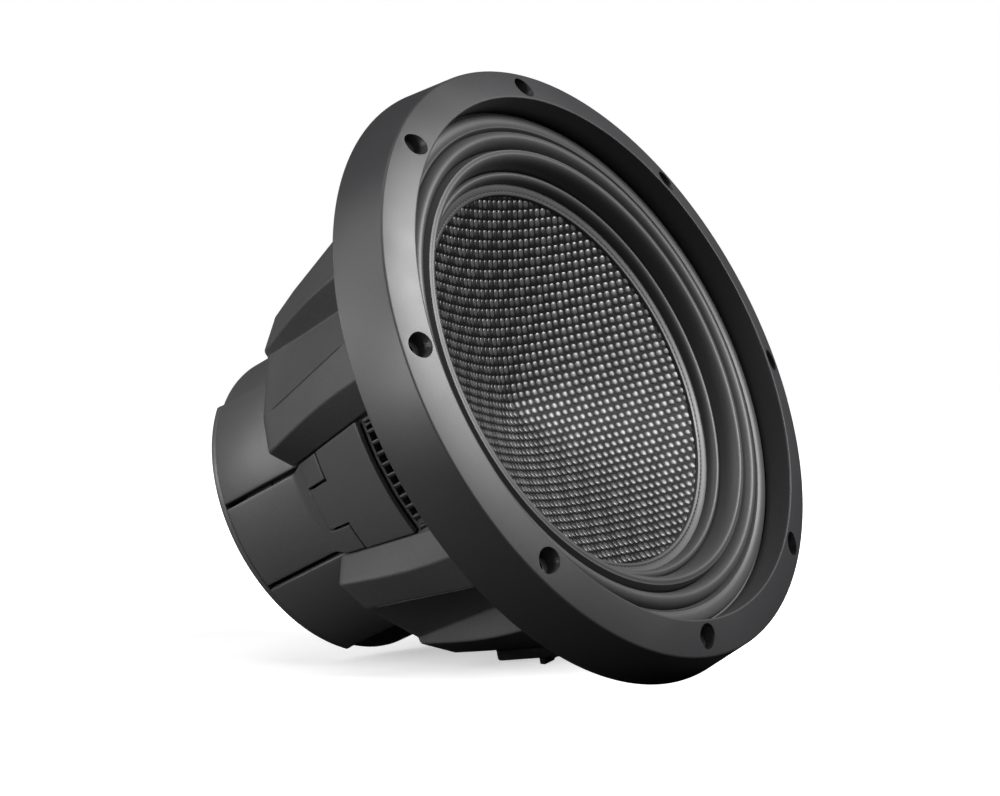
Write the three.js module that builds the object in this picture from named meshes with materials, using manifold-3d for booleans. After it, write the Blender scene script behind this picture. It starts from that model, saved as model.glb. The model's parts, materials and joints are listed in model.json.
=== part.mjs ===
// A 250 mm class car subwoofer: trim ring, four-roll surround, woven dish, cast basket and covered motor.
// Millimetres. +Z is the speaker's axis, out of the dish.
// The origin is on the axis, at the motor's rear face.
import * as THREE from "three";
import { mergeVertices } from "three/addons/utils/BufferGeometryUtils.js";
import Module from "manifold-3d";

const wasm = await Module();
wasm.setup();

// Driving dimensions. Radii are about the axis and heights are above the motor's rear face.
const GAP = 0.3;
const ROUND = 40; // sides of a full turn on most pieces
const ROUND_OUTER = 60; // on the ring and the combs
const ROUND_INNER = 24; // on hidden pieces
const RING = {
  frontR: 133.4, rearR: 137.5, lipR: 118.7,
  rearZ: 145, frontZ: 169, lipZ: 173.6, wall: 3,
};
const HOLES = {
  count: 8, firstAngle: 27, circleR: 126.2,
  boreR: 2.5, sinkR: 4.75, sinkDepth: 5.5, bossR: 7,
};
const FLANGE = {
  rearZ: 146, thick: 4, outerR: 133, innerR: 104,
  landR: 117.2, landOuterR: 122.2, landZ: 157,
};
const CUTOUT_R = 117.2;
const GASKET = { innerR: 119, outerR: 132.8, rearZ: 143 };
const BAYS = { count: 2, firstAngle: 90, halfAngle: 15 };
const BASKET = { rearZ: 53, wall: 3.2, plateZ: 57, cavityZ: 61, skirtR: 74.7, coilHoleR: 37.3 };
const MOTOR = {
  coverR: 74.3, sideR: 71.6, coverInnerR: 70.6, lipInnerR: 60,
  sideHalfAngle: 34.5, slotHalfAngle: 16.5, coverTop: 56.4,
};
const MAGNET = { outerR: 70, innerR: 38, thick: 17 };
const YOKE = { plateR: 66, plateZ: 1.5, plateThick: 10, poleR: 30.5, poleTop: 60, ventR: 13, screenR: 17 };
const SHORTING = { innerR: 34.8, outerR: 37.6, height: 13.7 };
const TOP_PLATE = { outerR: 66, innerR: 35.2, thick: 10 };
const COIL = { formerInnerR: 31.6, formerOuterR: 32, windingR: 33.6, bottom: 32, windingTop: 70 };
const SPIDER = { landZ: 85, outerR: 85, innerR: 32.3, ledgeInnerR: 79.5, rolls: 4, rollHeight: 2.2 };
const DISH = { edgeR: 85.5, edgeZ: 146.1, centreZ: 113, thick: 1.3 };
const COVER = { thick: 2.3, flareZ: 47, tabZ: 59.3, stepZ: 73, topZ: 108, tabR: 83.8, slope: 0.325 };
const COVER_TAB_HALF_ANGLE = 6.3;
const COMB = {
  rearZ: 122, railZ: 138.5, topZ: 145.6, railR: 109.2, toothR: 110.4, outerR: 113.2,
  teeth: 11, pitch: 2.45, toothHalfAngle: 0.85,
};
const SCREWS = { count: 6, circleR: 55, headR: 4.2, headHeight: 4, shankR: 2.3, holeR: 2.6, reach: 9 };
const TERMINAL = {
  angle: 173.25, tilt: 15.86, faceR: 93, rearZ: 57,
  width: 20, length: 48, proud: 5, depth: 8,
};
const POSTS = {
  marks: ["plus", "minus"], firstZ: 14.5, pitch: 15.5,
  buttonOffset: 8, buttonProud: 9.6, travel: 3,
};

const DEG = Math.PI / 180;
const group = new THREE.Group();
group.name = "car_subwoofer";

const FINISH = {
  trim_plastic: { color: 0x34363a, roughness: 0.55, metalness: 0.0 },
  basket_paint: { color: 0x2c2d30, roughness: 0.6, metalness: 0.2 },
  cover_plastic: { color: 0x37393c, roughness: 0.62, metalness: 0.0 },
  surround_rubber: { color: 0x2b2b2d, roughness: 0.5, metalness: 0.0 },
  woven_dish: { color: 0x4a4c50, roughness: 0.4, metalness: 0.0 },
  cone_pulp: { color: 0x1b1b1c, roughness: 0.9, metalness: 0.0 },
  spider_cloth: { color: 0x8a6a3a, roughness: 0.95, metalness: 0.0 },
  foam: { color: 0x151515, roughness: 1.0, metalness: 0.0 },
  ferrite: { color: 0x222224, roughness: 0.7, metalness: 0.1 },
  motor_steel: { color: 0x7d8084, roughness: 0.35, metalness: 0.9 },
  coil_copper: { color: 0xb06a35, roughness: 0.35, metalness: 0.9 },
  former: { color: 0x9a9ca0, roughness: 0.4, metalness: 0.8 },
  contact_gold: { color: 0xd2a24a, roughness: 0.25, metalness: 1.0 },
  button_plastic: { color: 0x1a1a1b, roughness: 0.45, metalness: 0.0 },
};

// ---- solids: closed geometry in, manifold solid out, and back to a mesh ----

function solid(geometry) {
  const bare = geometry.index ? geometry.toNonIndexed() : geometry.clone();
  bare.deleteAttribute("normal");
  bare.deleteAttribute("uv");
  const merged = mergeVertices(bare, 1e-4);
  const mesh = { numProp: 3, vertProperties: merged.attributes.position.array };
  const triVerts = new Uint32Array(merged.index.array);
  const made = new wasm.Manifold(new wasm.Mesh({ ...mesh, triVerts }));
  if (made.volume() > 0) return made;
  for (let i = 0; i < triVerts.length; i += 3) {
    [triVerts[i + 1], triVerts[i + 2]] = [triVerts[i + 2], triVerts[i + 1]];
  }
  return new wasm.Manifold(new wasm.Mesh({ ...mesh, triVerts }));
}

function addNode(name, finish, made) {
  const { numProp, vertProperties, triVerts } = made.getMesh();
  const vertices = new Float32Array((vertProperties.length / numProp) * 3);
  for (let i = 0; i < vertices.length / 3; i++) {
    vertices.set(vertProperties.subarray(i * numProp, i * numProp + 3), i * 3);
  }
  const geometry = new THREE.BufferGeometry();
  geometry.setAttribute("position", new THREE.BufferAttribute(vertices, 3));
  geometry.setIndex(new THREE.BufferAttribute(new Uint32Array(triVerts), 1));
  geometry.computeVertexNormals();
  const mesh = new THREE.Mesh(geometry, new THREE.MeshStandardMaterial(FINISH[finish]));
  mesh.name = name;
  group.add(mesh);
  return mesh;
}

// A closed [radius, height] outline turned about the axis.
function turned(outline, segments = ROUND) {
  const points = [...outline, outline[0]].map(([r, z]) => new THREE.Vector2(r, z));
  return solid(new THREE.LatheGeometry(points, segments).rotateX(Math.PI / 2));
}

const tube = (innerR, outerR, z0, z1, segments = ROUND_INNER) =>
  turned([[innerR, z0], [outerR, z0], [outerR, z1], [innerR, z1]], segments);

function rod(radius, z0, z1, x = 0, y = 0, sides = 12) {
  const made = new THREE.CylinderGeometry(radius, radius, z1 - z0, sides).rotateX(Math.PI / 2);
  return solid(made.translate(x, y, (z0 + z1) / 2));
}

function block(width, depth, height, x, y, z) {
  return solid(new THREE.BoxGeometry(width, depth, height).translate(x, y, z));
}

const polar = (angle, r) => new THREE.Vector2(r * Math.cos(angle * DEG), r * Math.sin(angle * DEG));

// A wedge of the space around the axis, from angle a0 to a1 in degrees, less than 180 wide.
function wedge(a0, a1, z0, z1, reach = 200) {
  const corners = [new THREE.Vector2(0, 0)];
  for (let i = 0; i <= 4; i++) corners.push(polar(a0 + ((a1 - a0) * i) / 4, reach));
  const made = new THREE.ExtrudeGeometry(new THREE.Shape(corners), { depth: z1 - z0, bevelEnabled: false });
  return solid(made.translate(0, 0, z0));
}

// A straight-sided solid between two outlines with the same number of corners.
function loft(lower, z0, upper, z1) {
  const made = new THREE.ExtrudeGeometry(new THREE.Shape(lower), { depth: z1 - z0, bevelEnabled: false });
  const position = made.attributes.position;
  for (let i = 0; i < position.count; i++) {
    const here = new THREE.Vector2(position.getX(i), position.getY(i));
    const atTop = position.getZ(i) > (z1 - z0) / 2;
    const corner = lower.findIndex((p) => p.distanceTo(here) < 1e-3);
    if (atTop) position.setXY(i, upper[corner].x, upper[corner].y);
  }
  return solid(made.translate(0, 0, z0));
}

const aroundAxis = (count, first, place) =>
  Array.from({ length: count }, (_, i) => place(first + (i * 360) / count));

const holeAngles = aroundAxis(HOLES.count, HOLES.firstAngle, (a) => a);
const bayAngles = aroundAxis(BAYS.count, BAYS.firstAngle, (a) => a);
const screwAngles = aroundAxis(SCREWS.count, 0, (a) => a);

// ---- trim ring: hollow bevelled ring with a boss and a sunk hole at each mounting screw ----

function trimRing() {
  const { frontR, rearR, lipR, rearZ, frontZ, lipZ, wall } = RING;
  const footZ = FLANGE.landZ + 2.6;
  const slope = (lipZ - frontZ) / (frontR - lipR);
  const skinZ = (r) => lipZ - wall - (r - lipR) * slope;
  let ring = turned([
    [rearR, rearZ], [rearR - 0.15, rearZ + 1], [frontR + 0.7, frontZ - 1.1], [frontR - 0.3, frontZ + 0.1],
    [lipR + 1.2, lipZ - 0.2], [lipR, lipZ - 1], [lipR, footZ], [lipR + 2.6, footZ],
    [lipR + 2.6, skinZ(lipR + 2.6)], [frontR - 2.7, skinZ(frontR - 2.7)], [rearR - wall, rearZ],
  ], ROUND_OUTER);
  const face = (r) => lipZ - (r - lipR) * slope;
  const underFace = turned([
    [FLANGE.landOuterR - 4, FLANGE.rearZ + FLANGE.thick], [134, FLANGE.rearZ + FLANGE.thick],
    [132.6, face(132.6) - 0.4], [120, face(120) - 0.4],
  ], ROUND_OUTER);
  const bossFoot = FLANGE.rearZ + FLANGE.thick + GAP;
  for (const angle of holeAngles) {
    const { x, y } = polar(angle, HOLES.circleR);
    ring = ring.add(rod(HOLES.bossR, bossFoot, lipZ, x, y, 12).intersect(underFace));
  }
  ring = ring.subtract(tube(FLANGE.landR, FLANGE.landOuterR + GAP, bossFoot - 1, footZ, ROUND));
  for (const angle of holeAngles) {
    const { x, y } = polar(angle, HOLES.circleR);
    ring = ring.subtract(rod(HOLES.boreR, bossFoot - 1, lipZ + 1, x, y, 12));
    ring = ring.subtract(rod(HOLES.sinkR, face(HOLES.circleR) - HOLES.sinkDepth, lipZ + 1, x, y, 16));
  }
  addNode("trim_ring", "trim_plastic", ring);
}

function mountingGasket() {
  let gasket = tube(GASKET.innerR, GASKET.outerR, GASKET.rearZ, FLANGE.rearZ - GAP, ROUND);
  for (const angle of holeAngles) {
    const { x, y } = polar(angle, HOLES.circleR);
    gasket = gasket.subtract(rod(HOLES.boreR + 0.6, GASKET.rearZ - 1, FLANGE.rearZ + 1, x, y, 10));
  }
  addNode("mounting_gasket", "foam", gasket);
}

// ---- basket: flange, faceted arms between two bays, spider ledge and motor plate ----

// The arms' corners over half a turn, as [angle from the bay's centre, radius], rear end and flange end.
// inset turns and lowers a corner on the inner face, which keeps the wall about even.
const ARM_CORNERS = [
  { rear: [5.1, 78.6], front: [5.1, 108.8], inset: [0, 0] },
  { rear: [15.2, 78.6], front: [15.2, 108.8], inset: [2.2, 0] },
  { rear: [15.4, 81.8], front: [15.4, 112], inset: [2.4, 0] },
  { rear: [19.3, 94], front: [19.3, 120], inset: [2, 0.2] },
  { rear: [29.3, 92.8], front: [29.3, 119.4], inset: [0, 0] },
  { rear: [49.2, 90.3], front: [39.8, 108.4], inset: [1.6, 0] },
  { rear: [50, 92.5], front: [43.5, 119.6], inset: [2.4, 0] },
  { rear: [63, 92.5], front: [61, 119.4], inset: [0, 0] },
  { rear: [76.5, 92.5], front: [76.5, 119.4], inset: [0, 0] },
];

function armOutline(end, wall = 0) {
  const outline = [];
  for (const centre of bayAngles) {
    const halves = ARM_CORNERS.map(({ [end]: [angle, r], inset }) =>
      wall > 0 ? [angle + inset[0], r - wall - inset[1]] : [angle, r]);
    const sideR = halves[halves.length - 1][1];
    outline.push(polar(centre - 90, sideR));
    for (const [angle, r] of [...halves].reverse()) outline.push(polar(centre - angle, r));
    for (const [angle, r] of halves) outline.push(polar(centre + angle, r));
  }
  return outline;
}

// Terminal pieces are drawn with x out of the basket's face, z up its slope and y across it.
function terminalPlace(made) {
  const { angle, tilt, faceR, rearZ } = TERMINAL;
  return made.rotate([0, tilt, 0]).translate([faceR, 0, rearZ]).rotate([0, 0, angle]);
}

function basket() {
  const { rearZ, wall, plateZ, cavityZ, skirtR, coilHoleR } = BASKET;
  const top = FLANGE.rearZ + 1;
  let frame = loft(armOutline("rear"), rearZ, armOutline("front"), top);
  frame = frame.intersect(rod(CUTOUT_R, rearZ - 1, top, 0, 0, ROUND));
  frame = frame.subtract(loft(armOutline("rear", wall), rearZ, armOutline("front", wall), top + 0.5)
    .subtract(rod(150, rearZ - 1, cavityZ, 0, 0, ROUND)));
  frame = frame.subtract(rod(skirtR, rearZ - 1, plateZ, 0, 0, ROUND));
  frame = frame.subtract(rod(coilHoleR, rearZ - 1, cavityZ + 1, 0, 0, ROUND_INNER));
  const { rearZ: flangeZ, thick, outerR, innerR, landR, landOuterR, landZ } = FLANGE;
  frame = frame.add(turned([
    [innerR, flangeZ], [outerR, flangeZ], [outerR, flangeZ + thick], [landOuterR, flangeZ + thick],
    [landOuterR, landZ], [landR, landZ], [landR, flangeZ + thick], [innerR, flangeZ + thick],
  ]));
  const ledge = SPIDER.landZ - GAP;
  const withinArms = loft(armOutline("rear", 1), rearZ, armOutline("front", 1), top);
  frame = frame.add(tube(SPIDER.ledgeInnerR, 110, ledge - 3, ledge).intersect(withinArms));
  for (const centre of bayAngles) {
    const { halfAngle } = BAYS;
    const behindTongue = tube(73, 120, rearZ - 1, cavityZ + 1.5);
    frame = frame.subtract(behindTongue.intersect(wedge(centre - 15.1, centre + 15.1, 50, 64)));
    const vent = tube(88, 125, COVER.topZ + 2, 138);
    const ventWidth = wedge(centre - halfAngle + 2, centre + halfAngle - 2, 100, 140);
    frame = frame.subtract(vent.intersect(ventWidth));
  }
  for (const angle of holeAngles) {
    const { x, y } = polar(angle, HOLES.circleR);
    frame = frame.subtract(rod(HOLES.boreR, flangeZ - 1, flangeZ + thick + 1, x, y, 12));
  }
  for (const angle of screwAngles) {
    const { x, y } = polar(angle, SCREWS.circleR);
    frame = frame.subtract(rod(SCREWS.holeR, plateZ - 1, cavityZ + 1, x, y, 10));
  }
  const { width, length } = TERMINAL;
  const terminalHole = block(24, width - 5, length - 7, -8, 0, length / 2);
  frame = frame.subtract(terminalPlace(terminalHole));
  addNode("basket", "basket_paint", frame);
}

// ---- the two bays: upper cover with a tab, lower cover along the motor, and the vent comb ----

const coverR = (z) => COVER.tabR + COVER.slope * (z - COVER.tabZ);

function bayPieces(centre, mark) {
  const { halfAngle } = BAYS;
  const { thick, flareZ, tabZ, stepZ, topZ } = COVER;
  const tabHalf = COVER_TAB_HALF_ANGLE;
  const upperSkin = turned([
    [coverR(tabZ), tabZ + 0.2], [coverR(topZ), topZ],
    [coverR(topZ) - thick, topZ], [coverR(tabZ) - thick, tabZ + 0.2],
  ]);
  const panel = wedge(centre - halfAngle, centre + halfAngle, stepZ + 0.25, topZ + 1);
  const tab = wedge(centre - tabHalf, centre + tabHalf, tabZ - 1, stepZ + 1);
  addNode("bay_cover_" + mark, "cover_plastic", upperSkin.intersect(panel.add(tab)));

  const lowerSkin = turned([
    [MOTOR.coverR, 3.3], [MOTOR.coverR, flareZ], [coverR(tabZ), tabZ],
    [coverR(stepZ), stepZ - 0.2], [coverR(stepZ) - thick, stepZ - 0.2],
    [coverR(tabZ) - thick, tabZ + 0.8], [MOTOR.coverR - thick, flareZ + 1.6], [MOTOR.coverR - thick, 3.3],
  ]);
  const notch = wedge(centre - tabHalf - 0.25, centre + tabHalf + 0.25, tabZ - 0.4, stepZ + 1);
  const strip = wedge(centre - halfAngle + 0.1, centre + halfAngle - 0.1, 0, stepZ + 1);
  addNode("motor_bay_cover_" + mark, "cover_plastic", lowerSkin.intersect(strip).subtract(notch));

  const { rearZ, railZ, topZ: combTop, railR, toothR, outerR, teeth, pitch, toothHalfAngle } = COMB;
  const span = ((teeth - 1) / 2) * pitch + 1.1;
  const railSkin = tube(railR, toothR + 0.2, railZ, combTop, ROUND_OUTER);
  let comb = railSkin.intersect(wedge(centre - span, centre + span, 120, 150));
  const toothSkin = tube(toothR, outerR, rearZ, combTop, ROUND_OUTER);
  for (let i = 0; i < teeth; i++) {
    const middle = centre + (i - (teeth - 1) / 2) * pitch;
    const tooth = wedge(middle - toothHalfAngle, middle + toothHalfAngle, 120, 150);
    comb = comb.add(toothSkin.intersect(tooth));
  }
  addNode("vent_comb_" + mark, "cover_plastic", comb);
}

// ---- motor: cover, back plate with pole, magnets, top plate, shorting ring, vent screen, screws ----

function motorCover() {
  const { coverR: outerR, sideR, coverInnerR, sideHalfAngle, slotHalfAngle, lipInnerR, coverTop } = MOTOR;
  const low = 1.2;
  let cover = turned([
    [lipInnerR, 0], [outerR - 1, 0], [outerR, 1], [outerR, coverTop], [coverInnerR, coverTop],
    [coverInnerR, low], [lipInnerR, low],
  ]);
  for (const centre of bayAngles) {
    const side = centre + 90;
    const waste = tube(sideR, 90, -1, coverTop + 1, ROUND);
    cover = cover.subtract(waste.intersect(wedge(side - sideHalfAngle, side + sideHalfAngle, -2, 60)));
    const slot = tube(coverInnerR - 1, 90, 3, coverTop + 1, ROUND);
    cover = cover.subtract(slot.intersect(wedge(centre - slotHalfAngle, centre + slotHalfAngle, 2, 60)));
  }
  addNode("motor_cover", "cover_plastic", cover);
}

function motorCore() {
  const { plateR, plateZ, plateThick, poleR, poleTop, ventR, screenR } = YOKE;
  const plateTop = plateZ + plateThick;
  const yoke = turned([
    [screenR, plateZ], [plateR, plateZ], [plateR, plateTop], [poleR, plateTop], [poleR, poleTop],
    [ventR + 2, poleTop], [ventR, poleTop - 2], [ventR, plateZ + 2], [screenR, plateZ + 2],
  ]);
  addNode("back_plate_and_pole", "motor_steel", yoke);
  addNode("vent_screen", "motor_steel", rod(screenR - GAP, plateZ + 0.2, plateZ + 1.7, 0, 0, ROUND_INNER));
  let z = plateTop + GAP;
  for (const mark of ["rear", "front"]) {
    addNode("magnet_" + mark, "ferrite", tube(MAGNET.innerR, MAGNET.outerR, z, z + MAGNET.thick));
    z += MAGNET.thick + GAP;
  }
  const ringZ = plateTop + GAP;
  addNode("shorting_ring", "former", tube(SHORTING.innerR, SHORTING.outerR, ringZ, ringZ + SHORTING.height));
  let plate = tube(TOP_PLATE.innerR, TOP_PLATE.outerR, z, z + TOP_PLATE.thick);
  const headZ = BASKET.cavityZ + GAP;
  for (const angle of screwAngles) {
    const { x, y } = polar(angle, SCREWS.circleR);
    plate = plate.subtract(rod(SCREWS.holeR, headZ - SCREWS.reach - 4, headZ, x, y, 10));
  }
  addNode("top_plate", "motor_steel", plate);
  screwAngles.forEach((angle, i) => {
    const { x, y } = polar(angle, SCREWS.circleR);
    const head = rod(SCREWS.headR, headZ, headZ + SCREWS.headHeight, x, y, 12);
    const shank = rod(SCREWS.shankR, headZ - SCREWS.reach, headZ + 1, x, y, 8);
    const hexRecess = rod(2, headZ + 1.8, headZ + SCREWS.headHeight + 1, x, y, 6);
    addNode("basket_screw_" + (i + 1), "motor_steel", head.add(shank).subtract(hexRecess));
  });
}

// ---- moving parts: dish, support cone, former, winding; surround and spider that flex with them ----

const dishZ = (r) => DISH.centreZ + (DISH.edgeZ - DISH.centreZ) * Math.pow(r / DISH.edgeR, 1.25);

function movingParts() {
  const steps = [0, 8, 18, 32, 50, 68, DISH.edgeR];
  const front = steps.map((r) => [r, dishZ(r)]);
  const back = [...front].reverse().map(([r, z]) => [r, z - DISH.thick]);
  addNode("woven_dish", "woven_dish", turned([...front, ...back]));

  const { formerInnerR, formerOuterR, windingR, bottom, windingTop } = COIL;
  const formerTop = dishZ(formerInnerR) - DISH.thick - 0.6;
  addNode("voice_coil_former", "former", tube(formerInnerR, formerOuterR, bottom, formerTop));
  const winding = tube(formerOuterR + 0.1, windingR, bottom + 0.5, windingTop);
  addNode("voice_coil_winding", "coil_copper", winding);

  const neckR = formerOuterR + GAP;
  const rimR = DISH.edgeR + 3;
  const rimZ = DISH.edgeZ - 2.4;
  addNode("support_cone", "cone_pulp", turned([
    [neckR, 97], [neckR + 1.2, 97], [neckR + 3, 101], [60, 121],
    [DISH.edgeR - 3, rimZ - 3.4], [rimR, rimZ - 1.2], [rimR, rimZ], [DISH.edgeR - 4.4, rimZ - 2.2],
    [60, 122.6], [neckR + 2, 103], [neckR, 105],
  ], ROUND_INNER));
}

// The surround's four rolls from the inner foot outwards, each with the valley after it.
const ROLLS = [
  { crest: 92, crestZ: 155.2, valley: 94.6, valleyZ: 153.2 },
  { crest: 98, crestZ: 161.4, valley: 101.8, valleyZ: 157.6 },
  { crest: 105.6, crestZ: 162.8, valley: 109.6, valleyZ: 159.2 },
  { crest: 113.6, crestZ: 161, valley: 118, valleyZ: 158.6 },
];

function surround() {
  const thick = 1.2;
  const face = [[86.2, 147.2], [88.6, 148.4]];
  let [fromR, fromZ] = [89.4, 149];
  for (const { crest, crestZ, valley, valleyZ } of ROLLS) {
    face.push([(fromR + crest) / 2 - 0.4, (fromZ + crestZ) / 2 + 1], [crest, crestZ], [valley, valleyZ]);
    [fromR, fromZ] = [valley, valleyZ];
  }
  face.push([119, FLANGE.landZ + 1.8], [FLANGE.landOuterR - 0.4, FLANGE.landZ + 1.8]);
  const back = [...face].reverse().map(([r, z]) => [r, z - thick]);
  addNode("surround", "surround_rubber", turned([...face, ...back]));
}

function spider() {
  const { landZ, outerR, innerR, ledgeInnerR, rolls, rollHeight } = SPIDER;
  const thick = 0.8;
  const face = [[innerR, landZ + thick], [innerR + 3, landZ + thick]];
  const pitch = (ledgeInnerR - innerR - 4) / (rolls * 2);
  for (let i = 0; i < rolls * 2; i++) {
    const lift = i % 2 ? -rollHeight : rollHeight;
    face.push([innerR + 4 + pitch * (i + 0.5), landZ + thick + lift]);
  }
  face.push([ledgeInnerR, landZ + thick], [outerR, landZ + thick]);
  const back = [...face].reverse().map(([r, z]) => [r, z - thick]);
  addNode("spider", "spider_cloth", turned([...face, ...back], ROUND_INNER));
}

// ---- terminal: a block in the basket's side with two sprung push posts, one above the other ----

// A plate with round corners, its bottom face at x = 0, as thick as the terminal stands proud.
function roundedPlate(width, length, thick, corner) {
  const [w, h] = [width / 2 - corner, length / 2 - corner];
  const shape = new THREE.Shape();
  [[w, h, 0], [-w, h, 90], [-w, -h, 180], [w, -h, 270]].forEach(([x, y, from]) => {
    shape.absarc(x, y, corner, from * DEG, (from + 90) * DEG);
  });
  const bevel = { bevelEnabled: true, bevelThickness: 1, bevelSize: 1, bevelOffset: -1, bevelSegments: 2 };
  const made = new THREE.ExtrudeGeometry(shape, { depth: thick - 1, curveSegments: 4, ...bevel });
  const turnedOut = made.rotateY(Math.PI / 2).rotateX(Math.PI / 2);
  const keep = block(thick, 90, 90, thick / 2, 0, length / 2);
  return solid(turnedOut.translate(0, 0, length / 2)).intersect(keep);
}

function terminal() {
  const { width, length, proud, depth } = TERMINAL;
  const { marks, firstZ, pitch, buttonOffset, buttonProud, travel } = POSTS;
  const neck = block(depth + 1, width - 6, length - 8, (1 - depth) / 2, 0, length / 2);
  let body = roundedPlate(width, length, proud, 3).translate([GAP, 0, 0]).add(neck);
  marks.forEach((mark, i) => {
    const jawZ = firstZ + i * pitch;
    const buttonZ = jawZ + buttonOffset;
    const pocketDepth = travel + 2.6;
    const stemReach = 2;
    body = body.subtract(block(20, 8.7, 7.9, 10 - pocketDepth, 0, buttonZ));
    body = body.subtract(block(12, 7, 4.4, 2.6, 0, jawZ));
    const jaw = block(5, 6.2, 3.6, -0.6, 0, jawZ).subtract(block(4, 3.4, 1.6, 1.6, 0, jawZ));
    addNode("contact_" + mark, "contact_gold", terminalPlace(jaw));
    const height = buttonProud + stemReach;
    const stem = block(height, 8, 7.2, buttonProud - height / 2, 0, buttonZ);
    const bevelCut = new THREE.BoxGeometry(8, 12, 12).rotateY(0.5);
    const cap = stem.subtract(solid(bevelCut.translate(buttonProud + 3, 0, buttonZ + 4.4)));
    addNode("push_button_" + mark, "button_plastic", terminalPlace(cap));
  });
  addNode("terminal_block", "button_plastic", terminalPlace(body));
}

// A flexible braided lead from the terminal block's inner end to the coil's former, over the spider.
function tinselLead(mark, side) {
  const start = polar(TERMINAL.angle + side * 3.4, 93.4);
  const end = polar(TERMINAL.angle + side * 10, COIL.formerOuterR + GAP);
  const at = (share, z) =>
    new THREE.Vector3(start.x + (end.x - start.x) * share, start.y + (end.y - start.y) * share, z);
  const stations = [at(0, 92), at(0.12, 93.4), at(0.5, 91.6), at(0.85, 94.4), at(1, 94.4)];
  const path = new THREE.CatmullRomCurve3(stations);
  const section = new THREE.Shape(Array.from({ length: 8 }, (_, i) => polar(i * 45, 1.1)));
  const made = new THREE.ExtrudeGeometry(section, { steps: 12, bevelEnabled: false, extrudePath: path });
  addNode("tinsel_lead_" + mark, "coil_copper", solid(made));
}

trimRing();
mountingGasket();
basket();
bayAngles.forEach((angle, i) => bayPieces(angle, "ab"[i]));
motorCover();
motorCore();
movingParts();
surround();
spider();
terminal();
tinselLead("plus", 1);
tinselLead("minus", -1);

export default group;
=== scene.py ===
# %% [markdown]
# # A car subwoofer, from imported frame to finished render
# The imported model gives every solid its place. This lesson gives each visible one a finely shaped piece
# and a finish of its own. All lengths below are in millimetres, and `MM` turns them into metres.

# %% Load the frame
import json
import math

import bmesh
import bpy
import numpy as np
from mathutils import Matrix, Vector

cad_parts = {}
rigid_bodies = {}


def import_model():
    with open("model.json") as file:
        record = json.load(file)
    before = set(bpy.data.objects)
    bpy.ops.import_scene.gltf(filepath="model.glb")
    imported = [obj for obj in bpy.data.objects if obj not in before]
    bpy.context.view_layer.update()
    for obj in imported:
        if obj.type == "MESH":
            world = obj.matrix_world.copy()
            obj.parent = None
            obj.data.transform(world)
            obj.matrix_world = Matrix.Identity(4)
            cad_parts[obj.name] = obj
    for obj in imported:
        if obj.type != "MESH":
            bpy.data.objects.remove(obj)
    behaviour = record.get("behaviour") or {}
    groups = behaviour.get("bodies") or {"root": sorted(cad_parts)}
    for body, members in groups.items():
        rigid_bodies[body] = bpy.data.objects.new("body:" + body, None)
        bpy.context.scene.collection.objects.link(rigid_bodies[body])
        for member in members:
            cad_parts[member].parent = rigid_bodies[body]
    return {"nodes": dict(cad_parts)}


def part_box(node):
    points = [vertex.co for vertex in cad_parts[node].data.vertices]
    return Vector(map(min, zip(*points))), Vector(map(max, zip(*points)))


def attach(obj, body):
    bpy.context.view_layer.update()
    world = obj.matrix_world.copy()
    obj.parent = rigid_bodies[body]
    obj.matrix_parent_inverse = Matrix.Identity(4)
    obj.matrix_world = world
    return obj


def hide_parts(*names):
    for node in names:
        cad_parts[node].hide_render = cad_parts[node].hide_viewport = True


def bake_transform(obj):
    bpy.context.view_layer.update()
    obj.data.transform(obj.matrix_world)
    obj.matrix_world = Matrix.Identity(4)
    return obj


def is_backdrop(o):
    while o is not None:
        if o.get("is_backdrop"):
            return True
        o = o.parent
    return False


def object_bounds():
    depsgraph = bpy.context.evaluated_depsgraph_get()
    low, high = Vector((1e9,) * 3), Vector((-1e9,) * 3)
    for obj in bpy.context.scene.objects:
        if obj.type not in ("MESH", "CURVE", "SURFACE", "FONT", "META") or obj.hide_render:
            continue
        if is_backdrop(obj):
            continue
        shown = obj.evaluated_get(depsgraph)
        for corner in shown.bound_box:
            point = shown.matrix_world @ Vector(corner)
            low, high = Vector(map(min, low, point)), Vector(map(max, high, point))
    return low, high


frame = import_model()
cad_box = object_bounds()
MM = 0.001

# %% [markdown]
# ## Outlines, turned pieces and skins
# Nearly every piece is turned about the axis or follows a loop round it. A round shape could be made with
# the Screw modifier, but a grid of points gives clean quads and exact places. Corners are given with a
# radius, because no moulded or cast edge is truly sharp, and it is the rounded edge that catches light.

# %% Helper: a closed outline with rounded corners
LONGEST_TRIM = 0.48  # the most of an edge that one rounded corner may use up


def rounded(corners, steps=4):
    """corners are (x, y, radius); each becomes a short curve that starts and ends on its two edges."""
    points = []
    for i, (x, y, radius) in enumerate(corners):
        here = Vector((x, y))
        before = Vector(corners[i - 1][:2]) - here
        after = Vector(corners[(i + 1) % len(corners)][:2]) - here
        if radius <= 0 or before.length < 1e-6 or after.length < 1e-6:
            points.append((x, y))
            continue
        half = before.angle(after, math.pi) / 2
        shorter = min(before.length, after.length)
        trim = min(radius / max(math.tan(half), 1e-3), LONGEST_TRIM * shorter)
        start = here + before.normalized() * trim
        end = here + after.normalized() * trim
        for k in range(steps + 1):
            t = k / steps
            p = start * (1 - t) ** 2 + here * (2 * t * (1 - t)) + end * t ** 2
            points.append((p.x, p.y))
    return points


print("a square with rounded corners has", len(rounded([(0, 0, 1), (9, 0, 1), (9, 9, 1), (0, 9, 1)])), "points")

# %% [markdown]
# ## From points to a mesh
# Every piece starts as points in millimetres and faces that name them. Doubles are merged and normals are
# turned outwards straight away, because a Boolean and a Bevel both go wrong on a shell with split seams.
# An edge stays sharp only above `SMOOTH_BELOW`, so that turned walls look round and real corners don't.

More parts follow.
